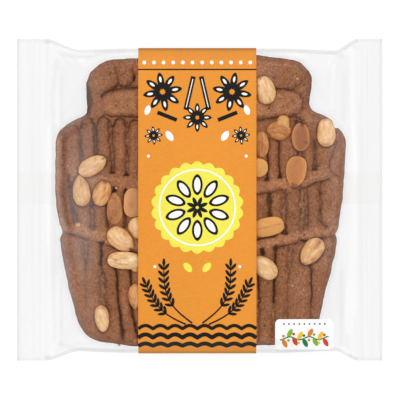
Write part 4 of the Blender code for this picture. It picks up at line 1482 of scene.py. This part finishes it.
def star_anise(x, y, radius, turn):
    """Eight pods round a middle, and a seed in each."""
    pods, seeds = [], []
    for degrees in np.arange(0, 360, 45) + turn:
        pods.append(petal(x, y, 0.9 * radius, 0.36 * radius, degrees, 0.12 * radius))
        seeds.append(petal(x, y, 0.32 * radius, 0.13 * radius, degrees, 0.5 * radius))
    return pods, seeds


def wheat_ear(root, tip, bow):
    """A bowed stalk with pairs of grains up its top half and one at its tip."""
    t = np.linspace(0, 1, 22)
    way = np.subtract(tip, root)
    line = root + t[:, None] * way + (bow * np.sin(math.pi * t))[:, None] * np.array([-way[1], way[0]])
    shapes = stroke(line, np.linspace(1.3, 0.7, len(line)))
    last = len(line) - 1
    for i in (*range(8, last, 2), last):
        forward = line[i] - line[i - 1]
        degrees = math.degrees(math.atan2(forward[1], forward[0]))
        for slant in (0,) if i == last else (-40, 40):
            shapes.append(petal(*line[i], 6.6, 2.3, degrees + slant))
    return shapes


# The print's inks: how far each lies over the paper, its colour as seen on a screen, how much its
# grain darkens and lightens it, and how much it glows
INKS = {
    "yellow": (0.08, (255, 245, 90), 0.97, 1.03, 0.0),
    "black": (0.12, (16, 15, 13), 0.9, 1.1, 0.0),
    "white": (0.16, (255, 255, 255), 0.97, 1.03, 0.06),
}
# The band's print, in millimetres from the middle of the band's top: x to the right, y up.
# The medallion: y of its middle, its edge as radius, lobes and their depth, its ring as radius and
# width, its dark petals and the pale ones on them as length, width and start, and its star
MEDALLION_Y = -6
MEDALLION_EDGE = (36, 22, 2.6)
MEDALLION_RING = (29.5, 1.3)
DARK_PETAL = (16.5, 8.4, 9.5)
PALE_PETAL = (11.5, 5.0, 12.0)
MEDALLION_STAR = (8.5, 22.5)
# Star anise as x, y, radius and turn
STARS = [(-27, 84, 15, 10), (27, 84, 15, 35), (0, 64, 11, 0), (-34, 50, 7, 5), (34, 50, 7, 5)]
# At each side of the middle: sticks of cinnamon and the light on one as both ends and width, seeds
# and a grain as x, y, length, width and lean, dots, and ears of wheat as root, tip and bow
STICKS = [((3, 96), (9, 70), 3.6), ((16, 62), (31, 68), 3.0)]
STICK_LIGHTS = [((3.4, 94), (8.6, 72), 0.7)]
SEEDS = [(19, 46, 9, 5, -35), (40, 66, 8, 4.5, 20)]
GRAIN = (4.5, -56, 9, 5.4, -40)
UPPER_DOT = (38, 34)
LOWER_DOT = (33, -52)
EARS = [((4, -96), (26, -52), -0.16), ((9, -97), (40, -66), -0.12)]
# The line and the row of dots near the top, and the waves at the bottom as y, width and height
TOP_LINE_Y = 101.5
TOP_LINE_WIDTH = 1.0
TOP_DOTS_Y = 107
TOP_DOTS = 12
TOP_DOTS_PITCH = 7.5
TOP_DOT_RADIUS = 1.5
WAVES = [(-100.5, 2.6, 2.6), (-107.5, 3.2, 2.6), (-114.5, 3.6, 2.2)]
WAVE_PITCH = 11.5
PRINT_HALF = 46
DOT_RADIUS = 1.2
DOT_SIDES = 16
# Gaps between the cuts up and across that let a print bend: the band's bends only along its length
PRINT_CUTS = (200, 2.5)
PANEL_CUTS = (1.2, 1.2)


def add_medallion(inks):
    """A scalloped round with a ring and ten petals round a star."""
    ring_radius, ring_width = MEDALLION_RING
    inks["yellow"].append(scalloped(0, MEDALLION_Y, *MEDALLION_EDGE))
    inks["white"].extend(stroke(arc(0, MEDALLION_Y, ring_radius, 0, 360, 73), ring_width))
    for degrees in range(18, 360, 36):
        for ink, (length, width, start) in (("black", DARK_PETAL), ("white", PALE_PETAL)):
            inks[ink].append(petal(0, MEDALLION_Y, length, width, degrees, start))
    inks["black"].extend(star_anise(0, MEDALLION_Y, *MEDALLION_STAR)[0])


def seed_beside(side, x, y, length, width, lean):
    """A seed at one side of the middle, leaning from upright."""
    return petal(side * x, y, length, width, 90 + side * lean)


def dot_beside(side, x, y):
    """A dot at one side of the middle."""
    return circle(side * x, y, DOT_RADIUS, DOT_SIDES)


def add_spices(inks):
    """Star anise, sticks of cinnamon and seeds."""
    for x, y, radius, turn in STARS:
        pods, seeds = star_anise(x, y, radius, turn)
        inks["black"].extend(pods)
        inks["white"].extend(seeds)
    for side in (-1, 1):
        for ink, sticks in (("black", STICKS), ("white", STICK_LIGHTS)):
            for (x, y), (end_x, end_y), width in sticks:
                inks[ink].extend(stroke([(side * x, y), (side * end_x, end_y)], width))
        inks["white"].extend(seed_beside(side, *seed) for seed in SEEDS)
        inks["white"].append(dot_beside(side, *UPPER_DOT))


def add_wheat(inks):
    """Two bowed ears of wheat at each side."""
    for side in (-1, 1):
        for (x, y), (tip_x, tip_y), bow in EARS:
            inks["black"].extend(wheat_ear((side * x, y), (side * tip_x, tip_y), side * bow))
        inks["yellow"].append(seed_beside(side, *GRAIN))
        inks["white"].append(dot_beside(side, *LOWER_DOT))


def add_borders(inks):
    """A line and a row of dots at the top, and waves at the bottom."""
    for k in range(TOP_DOTS):
        x = (k - (TOP_DOTS - 1) / 2) * TOP_DOTS_PITCH
        inks["white"].append(circle(x, TOP_DOTS_Y, TOP_DOT_RADIUS, DOT_SIDES))
    line = [(-PRINT_HALF, TOP_LINE_Y), (PRINT_HALF, TOP_LINE_Y)]
    inks["black"].extend(stroke(line, TOP_LINE_WIDTH))
    across = np.linspace(-PRINT_HALF, PRINT_HALF, 139)
    for level, width, high in WAVES:
        wave = level + high * np.abs(np.sin(across * math.pi / WAVE_PITCH))
        inks["black"].extend(stroke(np.column_stack([across, wave]), width))


def print_shapes():
    """The shapes of the band's generic print, by ink."""
    inks = {ink: [] for ink in INKS}
    for add in (add_medallion, add_spices, add_wheat, add_borders):
        add(inks)
    return inks


def decal(name, shapes, put, cuts, made):
    """Flat shapes sliced up and across and laid on a curved surface."""
    sheet = bmesh.new()
    for shape in shapes:
        sheet.faces.new([sheet.verts.new((x, y, 0)) for x, y in shape])
    sheet.normal_update()
    bmesh.ops.triangulate(sheet, faces=sheet.faces)
    corners = np.concatenate(shapes)
    for axis, gap in enumerate(cuts):
        facing = np.eye(3)[axis]
        for level in np.arange(corners[:, axis].min() + gap, corners[:, axis].max(), gap):
            whole = list(sheet.verts) + list(sheet.edges) + list(sheet.faces)
            bmesh.ops.bisect_plane(sheet, geom=whole, plane_co=level * facing, plane_no=facing)
    sheet.normal_update()
    sheet.verts.ensure_lookup_table()
    sheet.verts.index_update()
    points = [put(v.co.x, v.co.y) for v in sheet.verts]
    faces = []
    for face in sheet.faces:
        numbers = [v.index for v in face.verts]
        faces.append(numbers if face.normal.z > 0 else numbers[::-1])
    sheet.free()
    piece(name, points, faces, made)


# The small panel on the film at the lower right, and how far it and its print lie over the film
PANEL_MIDDLE = (81.5, -104.9)
PANEL_SIZE = (45.6, 23.8)
PANEL_CORNER = 3.6
PANEL_LIFT = 0.14
PANEL_PRINT_LIFT = 0.24
PANEL_INKS = {
    "green": (20, 128, 66), "lime": (132, 188, 46), "yellow": (250, 206, 40), "orange": (236, 132, 42),
    "red": (222, 66, 42), "dots": (96, 94, 92),
}
# Its garland: half its length, how far below the middle it hangs and the height of its waves, its
# leaves' inks from the left, their length, width and slant, and its berries' places and radius
GARLAND_HALF = 19
GARLAND_DROP = 3
GARLAND_WAVE = 1.2
LEAVES = ("orange", "lime", "red", "yellow", "green", "orange", "lime", "yellow", "red")
LEAF = (7.2, 3.6, 62)
BERRY = (0.6, 2.6, 1.1)
# Its row of dots: count, distance between them, height above the middle and radius
PANEL_DOTS = 9
PANEL_DOTS_PITCH = 4
PANEL_DOTS_RISE = 8.2
PANEL_DOT_RADIUS = 0.7


def rounded_rectangle(middle, size, corner):
    """A rectangle with round corners."""
    points = []
    for quarter, (sx, sy) in enumerate(((1, 1), (-1, 1), (-1, -1), (1, -1))):
        x = middle[0] + sx * (size[0] / 2 - corner)
        y = middle[1] + sy * (size[1] / 2 - corner)
        points.append(arc(x, y, corner, 90 * quarter, 90 * quarter + 90, 8))
    return np.concatenate(points)


def make_panel(film, white):
    """A plain white panel on the film, with a garland of leaves and a row of dots."""
    def lay(name, shapes, lift, made):
        def put(x, y):
            return (x, y, float(film.top(np.array([x]), np.array([y]))[0]) + lift)

        decal(name, shapes, put, PANEL_CUTS, made)

    lay("panel", [rounded_rectangle(PANEL_MIDDLE, PANEL_SIZE, PANEL_CORNER)], PANEL_LIFT, white)
    x, y = PANEL_MIDDLE
    along = np.linspace(-GARLAND_HALF, GARLAND_HALF, 39)
    stem = np.column_stack([x + along, y - GARLAND_DROP + GARLAND_WAVE * np.sin(along / 2.4)])
    shapes = {ink: [] for ink in PANEL_INKS}
    shapes["green"].extend(stroke(stem, 0.9))
    length, width, slant = LEAF
    aside, below, radius = BERRY
    for k, ink in enumerate(LEAVES):
        root_x, root_y = stem[2 + 4 * k]
        side = 1 if k % 2 else -1
        shapes[ink].append(petal(root_x, root_y, length, width, side * slant))
        shapes[ink].append(circle(root_x + aside, root_y - side * below, radius, 14))
    for k in range(PANEL_DOTS):
        dot_x = x + (k - (PANEL_DOTS - 1) / 2) * PANEL_DOTS_PITCH
        shapes["dots"].append(circle(dot_x, y + PANEL_DOTS_RISE, PANEL_DOT_RADIUS, 12))
    for ink, printed in shapes.items():
        lay("panel_" + ink, printed, PANEL_PRINT_LIFT, paper_material("panel_" + ink, PANEL_INKS[ink]))


def make_crumbs(made):
    """A few loose crumbs that lie on the slab under the film."""
    rng = np.random.default_rng(7)
    for number, (x, y, radius) in enumerate(CRUMBS):
        ball = bmesh.new()
        bmesh.ops.create_icosphere(ball, subdivisions=3, radius=1.0)
        points = np.array([v.co[:] for v in ball.verts])
        faces = [[v.index for v in face.verts] for face in ball.faces]
        ball.free()
        across, along, up = points.T * np.array([[3], [3], [2]])
        lumps = 1 + CRUMB_LUMPS * noise(across + 9 * number, along + up, 1.0, 300 + number)
        size = radius * CRUMB_SHAPE * rng.uniform(0.9, 1.1, 3)
        spot = np.array([[x], [y]], dtype=float)
        depth = nearest_on(SLAB_LOOP, *spot)[0]
        ground = Dough(*spot, depth).height[0] if depth[0] > 0 else BESIDE_SLAB
        points = points * lumps[:, None] * size + np.array([x, y, ground + 0.2 * radius])
        crumb = piece(f"crumb_{number + 1}", points, faces, made)
        store_tone(crumb.data, np.broadcast_to(linear(CRUMB_COLOUR), points.shape))


# The studio, in metres: half the floor's side and how far it lies below the pack, stops of the sky
# from straight down to straight up as place and brightness, soft lamps as name, place, size and
# power, and the camera's lens, sensor, width of its view and the height of the plane that it fills
FLOOR_HALF = 4.0
FLOOR_DROP = 0.05 * MM
SKY_STOPS = [(0.0, 0.16), (0.22, 0.62), (0.5, 0.72), (0.88, 0.36), (0.95, 0.02)]
SKY_STRENGTH = 1.8
LAMPS = [
    ("left_box", (-1.6, 0.1, 0.55), 0.6, 2.0), ("right_box", (1.6, 0.3, 0.55), 0.6, 2.0),
    ("top_box", (0.3, 1.2, 1.7), 1.3, 5.5),
]
LENS = 400
SENSOR = 36
VIEW_WIDTH = 312.0 * MM
VIEW_LEVEL = 8.0 * MM
VIEW_MIDDLE = (0.2 * MM, -0.2 * MM)


def make_floor():
    """A plain pale floor that glows a little, so that it stays even."""
    look = material("floor")
    glow = look.add("ShaderNodeEmission", Color=(1, 1, 1, 1), Strength=0.9)
    flat = look.add("ShaderNodeBsdfDiffuse", Color=(0.14, 0.14, 0.14, 1))
    both = look.add("ShaderNodeAddShader")
    look.join(glow.outputs["Emission"], both.inputs[0])
    look.join(flat.outputs["BSDF"], both.inputs[1])
    mesh = bpy.data.meshes.new("floor")
    ends = (-FLOOR_HALF, FLOOR_HALF)
    mesh.from_pydata([(x, y, -FLOOR_DROP) for x in ends for y in ends], [], [[0, 2, 3, 1]])
    mesh.materials.append(look.finished(both.outputs["Shader"]))
    floor = bpy.data.objects.new("floor", mesh)
    bpy.context.collection.objects.link(floor)
    floor.visible_diffuse = False


def make_sky():
    """A studio sky, brightest near the horizon."""
    world = bpy.data.worlds.new("studio")
    bpy.context.scene.world = world
    sky = Nodes(world, "ShaderNodeOutputWorld")
    place = sky.add("ShaderNodeTexCoord")
    split = sky.add("ShaderNodeSeparateXYZ")
    sky.join(place.outputs["Generated"], split.inputs["Vector"])
    ramp = sky.add("ShaderNodeValToRGB")
    for height, _ in SKY_STOPS[1:-1]:
        ramp.color_ramp.elements.new(height)
    for stop, (height, level) in zip(ramp.color_ramp.elements, SKY_STOPS):
        stop.position = height
        stop.color = (level, level, level, 1)
    sky.join(split.outputs["Z"], ramp.inputs["Fac"])
    light = sky.add("ShaderNodeBackground", Strength=SKY_STRENGTH)
    sky.join(ramp.outputs["Color"], light.inputs["Color"])
    sky.finished(light.outputs["Background"])


def make_lamps():
    """Soft square lamps that face the pack."""
    for name, spot, size, power in LAMPS:
        lamp = bpy.data.lights.new(name, "AREA")
        lamp.shape = "SQUARE"
        lamp.size = size
        lamp.energy = power
        light = bpy.data.objects.new(name, lamp)
        light.location = spot
        x, y, z = spot
        light.rotation_euler = (math.atan2(math.hypot(x, y), z), 0, math.atan2(-x, y) + math.pi)
        bpy.context.collection.objects.link(light)


def make_camera():
    """A camera straight above the pack with a long lens."""
    lens = bpy.data.cameras.new("camera")
    lens.lens = LENS
    lens.sensor_width = SENSOR
    camera = bpy.data.objects.new("camera", lens)
    camera.location = (*VIEW_MIDDLE, VIEW_WIDTH * LENS / SENSOR + VIEW_LEVEL)
    bpy.context.collection.objects.link(camera)
    bpy.context.scene.camera = camera
    bpy.context.scene.view_settings.view_transform = "Standard"


def main():
    """Build every piece, then the studio."""
    film = Film()
    band = Band(film)
    almond = almond_material()
    make_slab(dough_material())
    for number, place in enumerate(ALMONDS):
        make_almond(f"almond_{number + 1:02d}", number, place, almond)
    for number, place in enumerate(FLAKES):
        make_almond(f"flake_{number + 1}", 30 + number, place, almond)
    make_crumbs(almond)
    make_film(film, film_material("clear_film", *FILM_TINTS))
    make_back_seal(film_material("seal_film", *SEAL_TINTS))
    make_band(band, paper_material("band_orange", BAND_COLOUR, fold_shaded=True))
    looks = {ink: paper_material("ink_" + ink, *look) for ink, (_, *look) in INKS.items()}
    for ink, shapes in print_shapes().items():
        decal("print_" + ink, shapes, band.put(INKS[ink][0]), PRINT_CUTS, looks[ink])
    make_panel(film, looks["white"])
    make_floor()
    make_sky()
    make_lamps()
    make_camera()


main()
